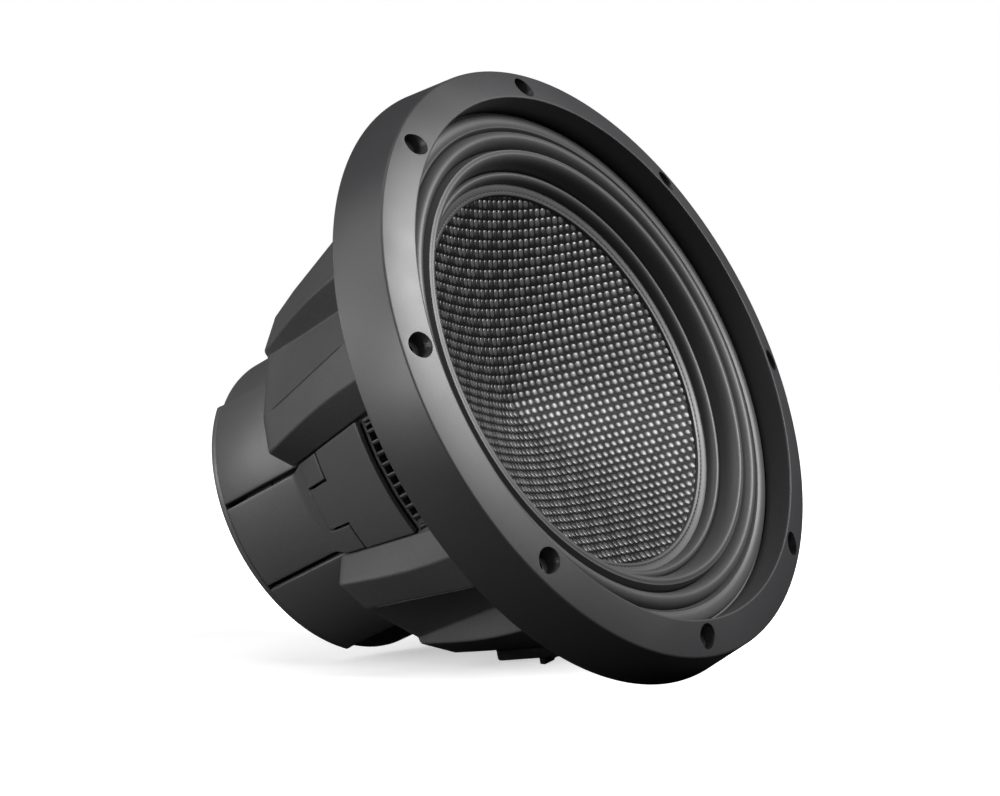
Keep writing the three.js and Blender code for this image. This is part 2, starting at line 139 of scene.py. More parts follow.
# %% Helper: a mesh from points, and a skin over a grid of points
SMOOTH_BELOW = math.radians(34)
MERGE = 0.002  # points nearer than this, in millimetres, are one


def tidy_mesh(piece, merge=MERGE):
    """Merge doubles, turn the normals outwards and shade smooth."""
    shape = bmesh.new()
    shape.from_mesh(piece.data)
    if merge:
        bmesh.ops.remove_doubles(shape, verts=shape.verts, dist=merge * MM)
    bmesh.ops.dissolve_degenerate(shape, edges=shape.edges, dist=1e-7)
    bmesh.ops.recalc_face_normals(shape, faces=shape.faces)
    shape.to_mesh(piece.data)
    shape.free()
    piece.data.shade_smooth()
    piece.data.set_sharp_from_angle(angle=SMOOTH_BELOW)


def placed(name, mesh):
    """A mesh as an object in the scene, at the origin."""
    piece = bpy.data.objects.new(name, mesh)
    bpy.context.scene.collection.objects.link(piece)
    return piece


def mesh_piece(name, points, faces, material=None, merge=MERGE):
    mesh = bpy.data.meshes.new(name)
    mesh.from_pydata((np.asarray(points, float) * MM).tolist(), [], faces)
    piece = placed(name, mesh)
    tidy_mesh(piece, merge)
    if material:
        mesh.materials.append(material)
    return piece


def skin(name, rows, material=None):
    """A grid of points as quads, closed on itself both ways like a ring."""
    rows = np.asarray(rows, float)
    count, width = rows.shape[:2]
    faces = []
    for i in range(count):
        for j in range(width):
            a, b = i * width + j, i * width + (j + 1) % width
            shift = ((i + 1) % count) * width
            faces.append((a, b, shift + (j + 1) % width, shift + j))
    return mesh_piece(name, rows.reshape(-1, 3), faces, material)


SEGMENTS = 240  # faces round a turned piece that asks for no other number


def turned(name, outline, material=None, segments=SEGMENTS):
    """An outline of (radius, height) points turned about the speaker's axis."""
    outline = np.asarray(outline, float)
    angle = np.linspace(0, 2 * math.pi, segments, endpoint=False)[:, None]
    rows = np.stack([
        np.cos(angle) * outline[:, 0], np.sin(angle) * outline[:, 0], np.ones_like(angle) * outline[:, 1],
    ], -1)
    return skin(name, rows, material)


print("faces round a turned piece:", SEGMENTS)

# %% [markdown]
# ## Cutting, joining and softening
# Modifiers could stay live, but later steps read the finished mesh, so each is turned into plain mesh as
# soon as it is set. A hole comes from an exact Boolean, and a Bevel limited by angle rounds only the edges
# that are truly corners.

# %% Helper: apply a modifier, cut, join and soften
def applied(piece):
    """The piece with its modifiers turned into plain mesh."""
    bpy.context.view_layer.update()
    evaluated = piece.evaluated_get(bpy.context.evaluated_depsgraph_get())
    mesh = bpy.data.meshes.new_from_object(evaluated)
    old = piece.data
    piece.modifiers.clear()
    piece.data = mesh
    mesh.name = piece.name
    bpy.data.meshes.remove(old)
    return piece


def cut(piece, cutter):
    """The piece less the cutter, which is used up."""
    modifier = piece.modifiers.new("cut", "BOOLEAN")
    modifier.object = cutter
    modifier.operation = "DIFFERENCE"
    modifier.solver = "EXACT"
    applied(piece)
    bpy.data.objects.remove(cutter)
    tidy_mesh(piece, MERGE / 2)


def joined(name, pieces):
    """Closed shells put together as one object."""
    shape = bmesh.new()
    for piece in pieces:
        shape.from_mesh(piece.data)
    materials = list(pieces[0].data.materials)
    mesh = bpy.data.meshes.new(name)
    shape.to_mesh(mesh)
    shape.free()
    for material in materials:
        mesh.materials.append(material)
    for piece in pieces:
        bpy.data.objects.remove(piece)
    mesh.shade_smooth()
    mesh.set_sharp_from_angle(angle=SMOOTH_BELOW)
    return placed(name, mesh)


def soften(piece, width, segments=2, above=38):
    """Round the edges that turn by more than `above` degrees."""
    modifier = piece.modifiers.new("soften", "BEVEL")
    modifier.width = width * MM
    modifier.segments = segments
    modifier.limit_method = "ANGLE"
    modifier.angle_limit = math.radians(above)
    applied(piece)
    tidy_mesh(piece, 0)
    return piece


print("a piece can be cut, joined and softened")


# %% Helper: places round the axis, and cutters
def polar(angle, radius, height=0.0):
    """A point from an angle in degrees, a radius and a height, in millimetres."""
    return (radius * math.cos(math.radians(angle)), radius * math.sin(math.radians(angle)), height)


def block(name, xs, ys, zs, material=None):
    """A box between two values on each axis, for a cutter or as the start of a bevelled piece."""
    points = [(x, y, z) for x in xs for y in ys for z in zs]
    faces = [(0, 1, 3, 2), (4, 6, 7, 5), (0, 4, 5, 1), (2, 3, 7, 6), (0, 2, 6, 4), (1, 5, 7, 3)]
    return mesh_piece(name, points, faces, material)


def round_cutter(place, outline, sides=40):
    """A turned cutter moved to a point, its own axis kept along the speaker's axis."""
    cutter = turned("cutter", outline, segments=sides)
    cutter.data.transform(Matrix.Translation(Vector(place) * MM))
    return cutter


def sector_cutter(low, high, inner, outer, z0, z1, steps=24):
    """A ring sector between two angles, as a closed block."""
    angles = np.radians(np.linspace(low, high, steps))
    section = [(inner, z0), (outer, z0), (outer, z1), (inner, z1)]
    points = [(r * math.cos(a), r * math.sin(a), z) for a in angles for r, z in section]
    faces = [(0, 1, 2, 3), tuple(len(points) - 4 + k for k in (3, 2, 1, 0))]
    for i in range(steps - 1):
        for k in range(4):
            a, b = i * 4 + k, i * 4 + (k + 1) % 4
            faces.append((a, b, b + 4, a + 4))
    return mesh_piece("cutter", points, faces)


print("a hole's middle at 27 degrees:", [round(c, 2) for c in polar(27, 126.2)])

# %% [markdown]
# ## Finishes
# The speaker is almost all black, so its finishes differ in gloss and grain rather than in colour. Each
# material starts from one Principled shader. Noise in object coordinates gives the moulded grain, and a
# second, much larger noise makes roughness drift a little, as handled plastic and rubber do. An image
# texture could do the same, but these stay sharp at any distance.

# %% Helper: a material, its nodes and its links
def material_of(name, colour, roughness, metallic=0.0, **constants):
    material = bpy.data.materials.new(name)
    material.use_nodes = True
    shader = material.node_tree.nodes["Principled BSDF"]
    shader.inputs["Base Color"].default_value = (*colour, 1)
    shader.inputs["Roughness"].default_value = roughness
    shader.inputs["Metallic"].default_value = metallic
    for socket, value in constants.items():
        shader.inputs[socket.replace("_", " ")].default_value = value
    return material


def node(material, kind, **settings):
    """A new node; each setting goes to the socket of that name, or else to the node itself."""
    made = material.node_tree.nodes.new(kind)
    for key, value in settings.items():
        if key in made.inputs:
            made.inputs[key].default_value = value
        else:
            setattr(made, key, value)
    return made


def link(material, source, target):
    material.node_tree.links.new(source, target)


def shader_of(material):
    return material.node_tree.nodes["Principled BSDF"]


print("a material starts from one Principled shader")


# %% Helper: noise, a stretched value, bump and two mixed colours
def noise(material, feature, detail=3.0):
    """A noise whose blobs are about `feature` millimetres across."""
    place = node(material, "ShaderNodeTexCoord").outputs["Object"]
    made = node(material, "ShaderNodeTexNoise", Scale=1 / (feature * MM), Detail=detail)
    link(material, place, made.inputs["Vector"])
    return made.outputs["Fac"]


def remap(material, value, low, high, start=0.3, end=0.7):
    """Stretch a value from start..end to low..high; noise seldom leaves its default range."""
    made = node(material, "ShaderNodeMapRange")
    for socket, number in (("From Min", start), ("From Max", end), ("To Min", low), ("To Max", high)):
        made.inputs[socket].default_value = number
    link(material, value, made.inputs["Value"])
    return made.outputs["Result"]


def add_bump(material, height, depth, strength=1.0):
    """Bump of a depth in millimetres, on top of any bump the material already has."""
    shader = shader_of(material)
    bump = node(material, "ShaderNodeBump", Strength=strength, Distance=depth * MM)
    link(material, height, bump.inputs["Height"])
    earlier = shader.inputs["Normal"].links
    if earlier:
        link(material, earlier[0].from_socket, bump.inputs["Normal"])
    link(material, bump.outputs["Normal"], shader.inputs["Normal"])


def mixed_colours(material, value, dark, light):
    """Base colour between two colours. A Mix node's colour sockets are the ones of type RGBA."""
    mix = node(material, "ShaderNodeMix", data_type="RGBA")
    link(material, value, mix.inputs[0])
    first, second = [s for s in mix.inputs if s.type == "RGBA"]
    first.default_value = (*dark, 1)
    second.default_value = (*light, 1)
    out = [s for s in mix.outputs if s.type == "RGBA"][0]
    link(material, out, shader_of(material).inputs["Base Color"])


print("noise, bump and mixed colours are ready")

# %% Helper: a black finish with grain
GLOSS_PATCH = 45  # millimetres across which the gloss drifts


def grained(name, colour, roughness, grain, depth, drift=0.05, spread=0.12, **constants):
    """A moulded or coated finish: fine grain, slow drift in gloss, faint colour variation."""
    material = material_of(name, colour, roughness, **constants)
    gloss = remap(material, noise(material, GLOSS_PATCH, 4), roughness - drift, roughness + drift)
    link(material, gloss, shader_of(material).inputs["Roughness"])
    darker = tuple(c * (1 - spread) for c in colour)
    lighter = tuple(c * (1 + spread) for c in colour)
    mixed_colours(material, remap(material, noise(material, grain * 1.7, 2), 0, 1), darker, lighter)
    add_bump(material, noise(material, grain, 2), depth)
    return material


print("grain helper ready, gloss drifts over", GLOSS_PATCH, "mm")


# %% [markdown]
# ## The black finishes
# Each black piece is moulded, coated or pressed in its own way: the ring is smooth plastic, the basket has
# coarse powder coat, the covers a finer grain, the foam and the pressed pulp are open and dull. One helper
# makes them all, and only colour, gloss, grain size and grain depth change.

# %% Black finishes: ring, basket, covers, combs, rubber, foam, pulp, ferrite and thread
trim_plastic = grained("trim plastic", (0.034, 0.034, 0.036), 0.42, 0.35, 0.02)
basket_coat = grained("basket powder coat", (0.064, 0.064, 0.066), 0.42, 0.6, 0.05, Specular_IOR_Level=0.45)
cover_plastic = grained("cover plastic", (0.066, 0.066, 0.068), 0.42, 0.4, 0.03)
comb_plastic = grained("comb plastic", (0.014, 0.014, 0.015), 0.5, 0.4, 0.03)
button_plastic = grained("button plastic", (0.016, 0.016, 0.017), 0.32, 0.5, 0.01)
surround_rubber = grained("surround rubber", (0.056, 0.056, 0.057), 0.46, 0.3, 0.008, drift=0.04)
gasket_foam = grained("gasket foam", (0.014, 0.014, 0.014), 0.9, 0.9, 0.25, drift=0.03)
pulp = grained("pressed pulp", (0.012, 0.012, 0.012), 0.85, 1.2, 0.15, drift=0.04)
ferrite = grained("sintered ferrite", (0.03, 0.03, 0.033), 0.6, 0.8, 0.04)
stitch_thread = grained("stitch thread", (0.008, 0.008, 0.008), 0.8, 0.2, 0.03)
print("black finishes made:", len(bpy.data.materials), "materials so far")

# %% [markdown]
# ## Bare metals and the spider's cloth
# Turned metal shows fine rings left by the tool. A ring pattern could come from a texture of bands, but a
# one-dimensional noise read along the radius gives rings of uneven width, as a lathe does. The coil's
# copper shows the turns of its wire, and the spider is a coarse cloth set in resin.

# %% Metals: zinc-plated steel, aluminium, copper and gold
WINDING_BANDS, CLOTH_BANDS = 6.3, 4.5  # a Wave node shows 3.2 bands in each such length


def ringed_metal(name, colour, roughness, ring_pitch, depth):
    """Turned metal: fine rings round the axis left by the tool, and a drift in gloss."""
    material = material_of(name, colour, roughness, metallic=1.0)
    place = node(material, "ShaderNodeTexCoord").outputs["Object"]
    split = node(material, "ShaderNodeSeparateXYZ")
    link(material, place, split.inputs[0])
    plane = node(material, "ShaderNodeCombineXYZ")
    link(material, split.outputs["X"], plane.inputs["X"])
    link(material, split.outputs["Y"], plane.inputs["Y"])
    radius = node(material, "ShaderNodeVectorMath", operation="LENGTH")
    link(material, plane.outputs[0], radius.inputs[0])
    rings = node(material, "ShaderNodeTexNoise", noise_dimensions="1D", Scale=1 / (ring_pitch * MM), Detail=2.0)
    link(material, radius.outputs["Value"], rings.inputs["W"])
    add_bump(material, rings.outputs["Fac"], depth)
    drift = remap(material, noise(material, 25, 4), roughness - 0.08, roughness + 0.08)
    link(material, drift, shader_of(material).inputs["Roughness"])
    return material


motor_steel = ringed_metal("zinc-plated steel", (0.33, 0.34, 0.36), 0.36, 0.5, 0.01)
aluminium = ringed_metal("rolled aluminium", (0.6, 0.61, 0.62), 0.34, 0.4, 0.004)
gold = material_of("gold plating", (0.83, 0.56, 0.2), 0.24, metallic=1.0)
add_bump(gold, noise(gold, 0.5, 2), 0.01)
copper = material_of("enamelled copper", (0.66, 0.29, 0.12), 0.3, metallic=1.0)
winding = node(copper, "ShaderNodeTexWave", wave_type="BANDS", bands_direction="Z",
               Scale=1 / (WINDING_BANDS * MM))
link(copper, node(copper, "ShaderNodeTexCoord").outputs["Object"], winding.inputs["Vector"])
add_bump(copper, winding.outputs["Fac"], 0.15)
print("metals made: steel, aluminium, gold and copper")

# %% Spider cloth: a resin-set weave from two crossed bands
spider_cloth = material_of("spider cloth", (0.3, 0.17, 0.06), 0.85)
for direction in ("X", "Y"):
    threads = node(spider_cloth, "ShaderNodeTexWave", wave_type="BANDS", bands_direction=direction,
                   Scale=1 / (CLOTH_BANDS * MM))
    link(spider_cloth, node(spider_cloth, "ShaderNodeTexCoord").outputs["Object"], threads.inputs["Vector"])
    add_bump(spider_cloth, threads.outputs["Fac"], 0.12)
mixed_colours(spider_cloth, noise(spider_cloth, 9, 3), (0.24, 0.13, 0.045), (0.36, 0.21, 0.08))
print("spider cloth made")

# %% [markdown]
# ## Woven glass fibre
# The dish is a twill of flat glass tows in black resin. A picture of a weave, or a bump pattern, would do
# from far off, but here each patch of tow is real geometry, so that it glints by itself. The tows then need
# only fine fibres along their length, drawn in each patch's own UV map, and the resin between them is a
# dull black. The tows that run across the dish are given a lighter colour, a painted glint, and those that
# run along it a darker one, a painted shade: one glass tow, lit and shaded by its fibres' direction.

# %% Tow and resin finishes
FIBRES = (1.2, 26, 1)  # stretch of the noise along and across a patch
TOW_CONTRAST = 0.45

resin = grained("black resin", (0.004, 0.004, 0.0045), 0.5, 1.5, 0.01, Specular_IOR_Level=0.1)


def tow_finish(name, colour, roughness):
    material = material_of(name, colour, roughness, Specular_IOR_Level=0.7)
    uv = node(material, "ShaderNodeUVMap", uv_map="tow").outputs["UV"]
    mapping = node(material, "ShaderNodeMapping")
    mapping.inputs["Scale"].default_value = FIBRES
    link(material, uv, mapping.inputs["Vector"])
    fibres = node(material, "ShaderNodeTexNoise", Scale=1.0, Detail=3.0)
    link(material, mapping.outputs["Vector"], fibres.inputs["Vector"])
    patches = noise(material, 14, 2)
    blend = node(material, "ShaderNodeMath", operation="ADD")
    link(material, fibres.outputs["Fac"], blend.inputs[0])
    link(material, patches, blend.inputs[1])
    dark = tuple(c * (1 - TOW_CONTRAST) for c in colour)
    light = tuple(c * (1 + TOW_CONTRAST) for c in colour)
    mixed_colours(material, remap(material, blend.outputs["Value"], 0, 1, 0.7, 1.3), dark, light)
    add_bump(material, fibres.outputs["Fac"], 0.03)
    return material


# The across tows' lighter colour is a painted glint and the along tows' darker colour a painted shade.
tow_across_painted_glint = tow_finish("glass tow across", (0.045, 0.045, 0.047), 0.36)
tow_along_painted_shade = tow_finish("glass tow along", (0.012, 0.012, 0.0125), 0.38)
print("tow and resin finishes made")

# %% [markdown]
# ## Trim ring
# The ring is one moulding: a steep outer wall, a front face that slopes back to its outer edge, and a deep
# inner wall. It is turned from one rounded outline. The eight screw holes, each a wide sunk hole over a
# narrow bore, are cut with a Boolean, which keeps their rims exact.

# %% Trim ring
ring_low, ring_high = (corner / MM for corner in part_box("trim_ring"))
RING_RADIUS = ring_high.x
RING_BACK, RING_LIP = ring_low.z, ring_high.z
LIP_RADIUS = 118.7
FACE_EDGE = (133.9, 168.9)
HOLE_CIRCLE = 126.2
HOLE_ANGLES = [27 + 45 * i for i in range(8)]
RING_OUTLINE = rounded([
    (RING_RADIUS, RING_BACK, 0.5), (FACE_EDGE[0], FACE_EDGE[1], 1.3), (LIP_RADIUS + 0.2, RING_LIP + 0.1, 0.9),
    (LIP_RADIUS, 159.6, 0.3), (122.6, 159.6, 0.2), (122.6, 150.4, 0.2), (134.1, 150.4, 0.2),
    (134.1, RING_BACK, 0.3),
])
trim_ring = turned("trim_ring_moulding", RING_OUTLINE, trim_plastic, segments=384)
print("ring outline:", len(RING_OUTLINE), "points, radius", round(RING_RADIUS, 2))

# %% Sunk screw holes in the ring
hole_face = RING_LIP - (HOLE_CIRCLE - LIP_RADIUS) * (RING_LIP - FACE_EDGE[1]) / (FACE_EDGE[0] - LIP_RADIUS)
SUNK_HOLE = [  # a bore, a seat for the screw's head, and a chamfer at the face
    (0, 149), (2.5, 149), (2.5, hole_face - 5.6), (4.5, hole_face - 5.3), (4.75, hole_face - 5),
    (4.75, hole_face - 0.9), (5.6, hole_face + 0.4), (5.6, hole_face + 4), (0, hole_face + 4),
]
for hole_angle in HOLE_ANGLES:
    cut(trim_ring, round_cutter(polar(hole_angle, HOLE_CIRCLE), SUNK_HOLE))
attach(trim_ring, "chassis")
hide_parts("trim_ring")
print("trim ring:", len(trim_ring.data.polygons), "faces")

# %% [markdown]
# ## Surround
# The rubber surround has four rolls of different size and a flat land that is glued over the dish's edge.
# Each roll is one arch between two valleys, written as a formula, so that its crest is full and its
# valleys are tight, and two thin ribs are added on top. The land's stitches are made further down.

# %% Surround profile
LAND = [
    (85.0, 146.7), (85.3, 147.5), (86.2, 147.9), (86.8, 147.65), (87.4, 148.1), (88.9, 148.6), (89.7, 148.7),
]
ROLLS = [  # crest radius, crest height, next valley's radius, its height
    (92.0, 153.6, 94.2, 150.4), (97.9, 162.0, 101.8, 154.2), (105.7, 162.8, 109.7, 157.6),
    (113.7, 161.3, 118.2, 158.3),
]
RIBS = [(99.9, 0.55), (110.7, 0.8)]
RIB_HALF_WIDTH = 0.42
RUBBER = 1.3
ROLL_SQUARENESS, ROLL_FULLNESS = 1.05, 0.92  # powers that make a roll a little fuller than an ellipse
OUTER_FOOT = [(118.9, 158.6), (121.6, 158.6)]


def roll_profile(points=18):
    """The upper side of the rubber from the land to the outer foot, ribs included."""
    profile = list(LAND)
    valley_r, valley_z = LAND[-1]
    for crest_r, crest_z, next_r, next_z in ROLLS:
        for side, (foot_r, foot_z) in enumerate(((valley_r, valley_z), (next_r, next_z))):
            turns = np.linspace(0, math.pi / 2, points)
            turns = turns[1:] if side == 0 else turns[::-1][1:]
            for turn in turns:
                reach = math.cos(turn) ** ROLL_SQUARENESS
                rise = math.sin(turn) ** ROLL_FULLNESS
                profile.append((crest_r + (foot_r - crest_r) * reach, foot_z + (crest_z - foot_z) * rise))
        valley_r, valley_z = next_r, next_z
    ribbed = []
    for r, z in profile:
        lift = sum(height * math.exp(-(((r - rib_r) / RIB_HALF_WIDTH) ** 2)) for rib_r, height in RIBS)
        ribbed.append((r, z + lift))
    return ribbed + OUTER_FOOT


front = roll_profile()
back = [(r, z - RUBBER) for r, z in reversed(front)]
surround = turned("surround_rolls", front + back, surround_rubber, segments=288)
print("surround:", len(surround.data.polygons), "faces")

# %% [markdown]
# ## Leaving the rubber where it is
# On the real speaker the land moves with the cone and the outer foot stays on the basket. Here the
# surround only has its transform baked into its mesh, and it joins no body.

# %% Helper: bake a flexing ring's transform into its mesh
def flex(piece):
    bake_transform(piece)


flex(surround)
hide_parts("surround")

# %% [markdown]
# ## Dish and its weave
# The dish is a shallow bowl with nearly straight sides and no dust cap. Its resin surface is turned. The
# weave over it is a two-over, two-under twill: at each crossing of a flat grid one domed patch shows, of the
# tow that runs across or of the one that runs along, and the choice shifts by one from row to row.
# Geometry Nodes lays the patches flat and then drops them onto the bowl with a ray cast, so that each
# bends with the surface under it.

# %% Dish surface
DISH_EDGE, DISH_EDGE_Z, DISH_CENTRE_Z, DISH_POWER = 85.5, 146.1, 113.0, 1.25
DISH_THICKNESS = 1.2


def dish_height(r):
    return DISH_CENTRE_Z + (DISH_EDGE_Z - DISH_CENTRE_Z) * (r / DISH_EDGE) ** DISH_POWER


dish_steps = np.concatenate([[0, 1.5, 3, 5], np.arange(8, 85, 3.5), [85.0, 86.6]])
dish_front = [(r, dish_height(r)) for r in dish_steps]
dish_back = [(r, z - DISH_THICKNESS) for r, z in reversed(dish_front)]
dish = turned("dish_resin", dish_front + dish_back, resin, segments=180)
print("dish:", len(dish.data.polygons), "faces")

# %% [markdown]
# ## A patch of tow
# Where a tow passes over another it bulges, and at both sides it dives under. What is left to see is a
# domed oval. A grid of nine by seven points is enough for that, and it keeps more than sixteen hundred
# copies light; its own UV map tells the fibres which way the tow runs.

# %% One pillow of tow: the domed patch that a tow shows at a crossing
WARP_PITCH, WEFT_PITCH = 3.9, 3.65
WEAVE_ANGLE = -13.4
TOW_HEIGHT, TOW_SINK = 0.5, 0.36  # the dome's height, and the share of it that is under the resin
TOW_FILL = 0.97
NARROWING, SHORTENING = 0.5, 0.2  # how far a patch's ends and corners draw in, towards an oval


def pillow(name, length, width, material):
    """A dome that is longest along its tow; its rim sinks below the resin."""
    along, across = 9, 7
    points, faces, uv = [], [], []
    for i in range(along):
        s = i / (along - 1) * 2 - 1
        for j in range(across):
            t = j / (across - 1) * 2 - 1
            x = s * length / 2 * (1 - SHORTENING * t ** 4)
            y = t * width / 2 * (1 - NARROWING * s ** 4)
            dome = (1 - abs(s) ** 3) ** 0.8 * (1 - abs(t) ** 3.2) ** 0.8
            points.append((x, y, TOW_HEIGHT * (dome - TOW_SINK)))
            uv.append((i / (along - 1), j / (across - 1)))
    for i in range(along - 1):
        for j in range(across - 1):
            a = i * across + j
            faces.append((a, a + across, a + across + 1, a + 1))
    mesh = bpy.data.meshes.new(name)
    mesh.from_pydata((np.array(points) * MM).tolist(), [], faces)
    layer = mesh.uv_layers.new(name="tow")
    for loop in mesh.loops:
        layer.data[loop.index].uv = uv[loop.vertex_index]
    mesh.materials.append(material)
    mesh.shade_smooth()
    return placed(name, mesh)


across_pillow = pillow("pillow_across", WARP_PITCH * TOW_FILL, WEFT_PITCH * TOW_FILL, tow_across_painted_glint)
along_pillow = pillow("pillow_along", WEFT_PITCH * TOW_FILL, WARP_PITCH * TOW_FILL, tow_along_painted_shade)
print("one pillow:", len(across_pillow.data.polygons), "faces")

# %% [markdown]
# ## Node trees from a script
# A Geometry Nodes tree is a group with an interface: each named input gets an identifier, and it is that
# identifier, not the name, which a modifier's value is set by. This small class keeps the identifiers,
# adds nodes, and grows a finished tree into a plain mesh. Every tree below ends in Realize Instances and
# Set Material, because instances don't survive an export.

# %% Helper: a node tree under construction
class Tree:
    """A Geometry Nodes tree; number, object and material inputs are listed by name."""

    def __init__(self, name, numbers=(), objects=(), materials=()):
        self.group = bpy.data.node_groups.new(name, "GeometryNodeTree")
        self.ids = {}
        face = self.group.interface
        face.new_socket("Geometry", in_out="OUTPUT", socket_type="NodeSocketGeometry")
        for labels, kind in ((numbers, "Float"), (objects, "Object"), (materials, "Material")):
            for label in labels:
                socket = face.new_socket(label, in_out="INPUT", socket_type="NodeSocket" + kind)
                self.ids[label] = socket.identifier
        self.source = self.group.nodes.new("NodeGroupInput")
        self.sink = self.group.nodes.new("NodeGroupOutput")

    def add(self, kind, inputs=(), **settings):
        """A new node: inputs by socket, each a link or a value, and settings on the node itself."""
        made = self.group.nodes.new(kind)
        for key, value in settings.items():
            setattr(made, key, value)
        for socket, value in dict(inputs).items():
            target = made.inputs[socket]
            if isinstance(value, bpy.types.NodeSocket):
                self.group.links.new(value, target)
            else:
                target.default_value = value
        return made

    def input(self, label):
        return self.source.outputs[label]

    def math(self, operation, a, b=0.0):
        return self.add("ShaderNodeMath", {0: a, 1: b}, operation=operation).outputs[0]

    def finish(self, geometry, label):
        """End the tree by setting the material that the named input holds."""
        faced = self.add("GeometryNodeSetMaterial", {"Geometry": geometry, "Material": self.input(label)})
        self.group.links.new(faced.outputs[0], self.sink.inputs["Geometry"])

    def grown(self, name, **values):
        """A new object with this tree's result as its plain mesh."""
        piece = placed(name, bpy.data.meshes.new(name))
        modifier = piece.modifiers.new("grow", "NODES")
        modifier.node_group = self.group
        for label, value in values.items():
            modifier[self.ids[label]] = value
        return applied(piece)


print("node tree helper ready")

# %% [markdown]
# ## Laying the twill
# The crossings are the points of one mesh grid, and a point's index gives its column and row. The patches
# could be instanced on the dish itself, but a flat grid keeps the pitch even and the rows straight, as in
# real cloth that is pressed into a mould.

# %% The twill: lay patches on a flat grid
GRID_SIDE = 53
DROP_HEIGHT = 0.2  # metres above the dish from which each point is dropped
WEAVE_RADIUS = 86.2


def flat_twill(tree):
    """Two of every four crossings along a row get a patch, all laid flat and turned together."""
    grid = tree.add("GeometryNodeMeshGrid",
                    {"Vertices X": GRID_SIDE, "Vertices Y": GRID_SIDE, "Size X": 1.0, "Size Y": 1.0})
    index = tree.add("GeometryNodeInputIndex").outputs[0]
    column = tree.math("FLOOR", tree.math("DIVIDE", index, float(GRID_SIDE)))
    row = tree.math("SUBTRACT", index, tree.math("MULTIPLY", column, float(GRID_SIDE)))
    column = tree.math("SUBTRACT", column, (GRID_SIDE - 1) / 2)
    row = tree.math("SUBTRACT", row, (GRID_SIDE - 1) / 2)
    step = tree.math("ADD", tree.math("ADD", column, row), tree.input("Phase"))
    phase = tree.math("FLOORED_MODULO", step, 4.0)
    chosen = tree.add("FunctionNodeCompare", {0: phase, 1: 1.5}, data_type="FLOAT",
                      operation="LESS_THAN").outputs[0]
    x = tree.math("MULTIPLY", column, tree.input("Column pitch"))
    y = tree.math("MULTIPLY", row, tree.input("Row pitch"))
    place = tree.add("ShaderNodeCombineXYZ", {"X": x, "Y": y}).outputs[0]
    points = tree.add("GeometryNodeMeshToPoints",
                      {"Mesh": grid.outputs["Mesh"], "Selection": chosen, "Position": place})
    shape = tree.add("GeometryNodeObjectInfo", {"Object": tree.input("Pillow")}, transform_space="ORIGINAL")
    turn = tree.add("ShaderNodeCombineXYZ", {"Z": tree.input("Turn")}).outputs[0]
    turn = tree.add("FunctionNodeEulerToRotation", {0: turn}).outputs[0]
    laid = tree.add("GeometryNodeInstanceOnPoints",
                    {"Points": points.outputs[0], "Instance": shape.outputs["Geometry"], "Rotation": turn})
    real = tree.add("GeometryNodeRealizeInstances", {"Geometry": laid.outputs[0]}).outputs[0]
    whole_turn = (0, 0, math.radians(WEAVE_ANGLE))
    return tree.add("GeometryNodeTransform", {"Geometry": real, "Rotation": whole_turn}).outputs[0]


def twill_tree():
    """The flat twill dropped onto the dish: a point's height becomes its distance along the dish's normal."""
    tree = Tree("twill", numbers=("Column pitch", "Row pitch", "Phase", "Turn", "Edge radius"),
                objects=("Pillow", "Dish"), materials=("Tow",))
    real = flat_twill(tree)
    here = tree.add("GeometryNodeInputPosition").outputs[0]
    split = tree.add("ShaderNodeSeparateXYZ", {0: here}).outputs
    above = tree.add("ShaderNodeCombineXYZ", {"X": split[0], "Y": split[1], "Z": DROP_HEIGHT}).outputs[0]
    bowl = tree.add("GeometryNodeObjectInfo", {"Object": tree.input("Dish")}, transform_space="ORIGINAL")
    hit = tree.add("GeometryNodeRaycast", {
        "Target Geometry": bowl.outputs["Geometry"], "Source Position": above,
        "Ray Direction": (0, 0, -1), "Ray Length": 1.0,
    }).outputs
    lift = tree.add("ShaderNodeVectorMath", {0: hit["Hit Normal"], "Scale": split[2]}, operation="SCALE")
    landed = tree.add("ShaderNodeVectorMath", {0: hit["Hit Position"], 1: lift.outputs[0]}, operation="ADD")
    flat = tree.add("ShaderNodeCombineXYZ", {"X": split[0], "Y": split[1]}).outputs[0]
    reach = tree.add("ShaderNodeVectorMath", {0: flat}, operation="LENGTH").outputs["Value"]
    beyond = tree.add("FunctionNodeCompare", {0: reach, 1: tree.input("Edge radius")}, data_type="FLOAT",
                      operation="GREATER_THAN").outputs[0]
    kept = tree.add("GeometryNodeDeleteGeometry", {"Geometry": real, "Selection": beyond},
                    domain="POINT").outputs[0]
    dropped = tree.add("GeometryNodeSetPosition", {"Geometry": kept, "Position": landed.outputs[0]}).outputs[0]
    tree.finish(dropped, "Tow")
    return tree


twill = twill_tree()
print("twill tree:", len(twill.group.nodes), "nodes")

# %% The two halves of the weave
settings = {"Column pitch": WARP_PITCH * MM, "Row pitch": WEFT_PITCH * MM, "Edge radius": WEAVE_RADIUS * MM,
            "Dish": dish}
weave_across = twill.grown("weave_across", Pillow=across_pillow, Tow=tow_across_painted_glint,
                           Turn=0.0, Phase=0.0, **settings)
weave_along = twill.grown("weave_along", Pillow=along_pillow, Tow=tow_along_painted_shade,
                          Turn=math.pi / 2, Phase=2.0, **settings)
for pattern in (across_pillow, along_pillow):
    bpy.data.objects.remove(pattern)
for weave in (weave_across, weave_along):
    weave.data.shade_smooth()
    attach(weave, "cone_assembly")
    print(weave.name + ":", len(weave.data.polygons), "faces")
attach(dish, "cone_assembly")
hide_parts("woven_dish")

# %% [markdown]
# ## Stitches
# The land is sewn to the dish with one line of dark thread. One rounded stitch is instanced round a circle
# by Geometry Nodes: an array modifier would need an empty turned by the right angle, and the circle here
# also gives each stitch its direction.

# %% Stitches
STITCH_RADIUS, STITCH_COUNT, STITCH_Z = 86.8, 210, 147.7
THREAD, STITCH_REACH = 0.32, 0.85


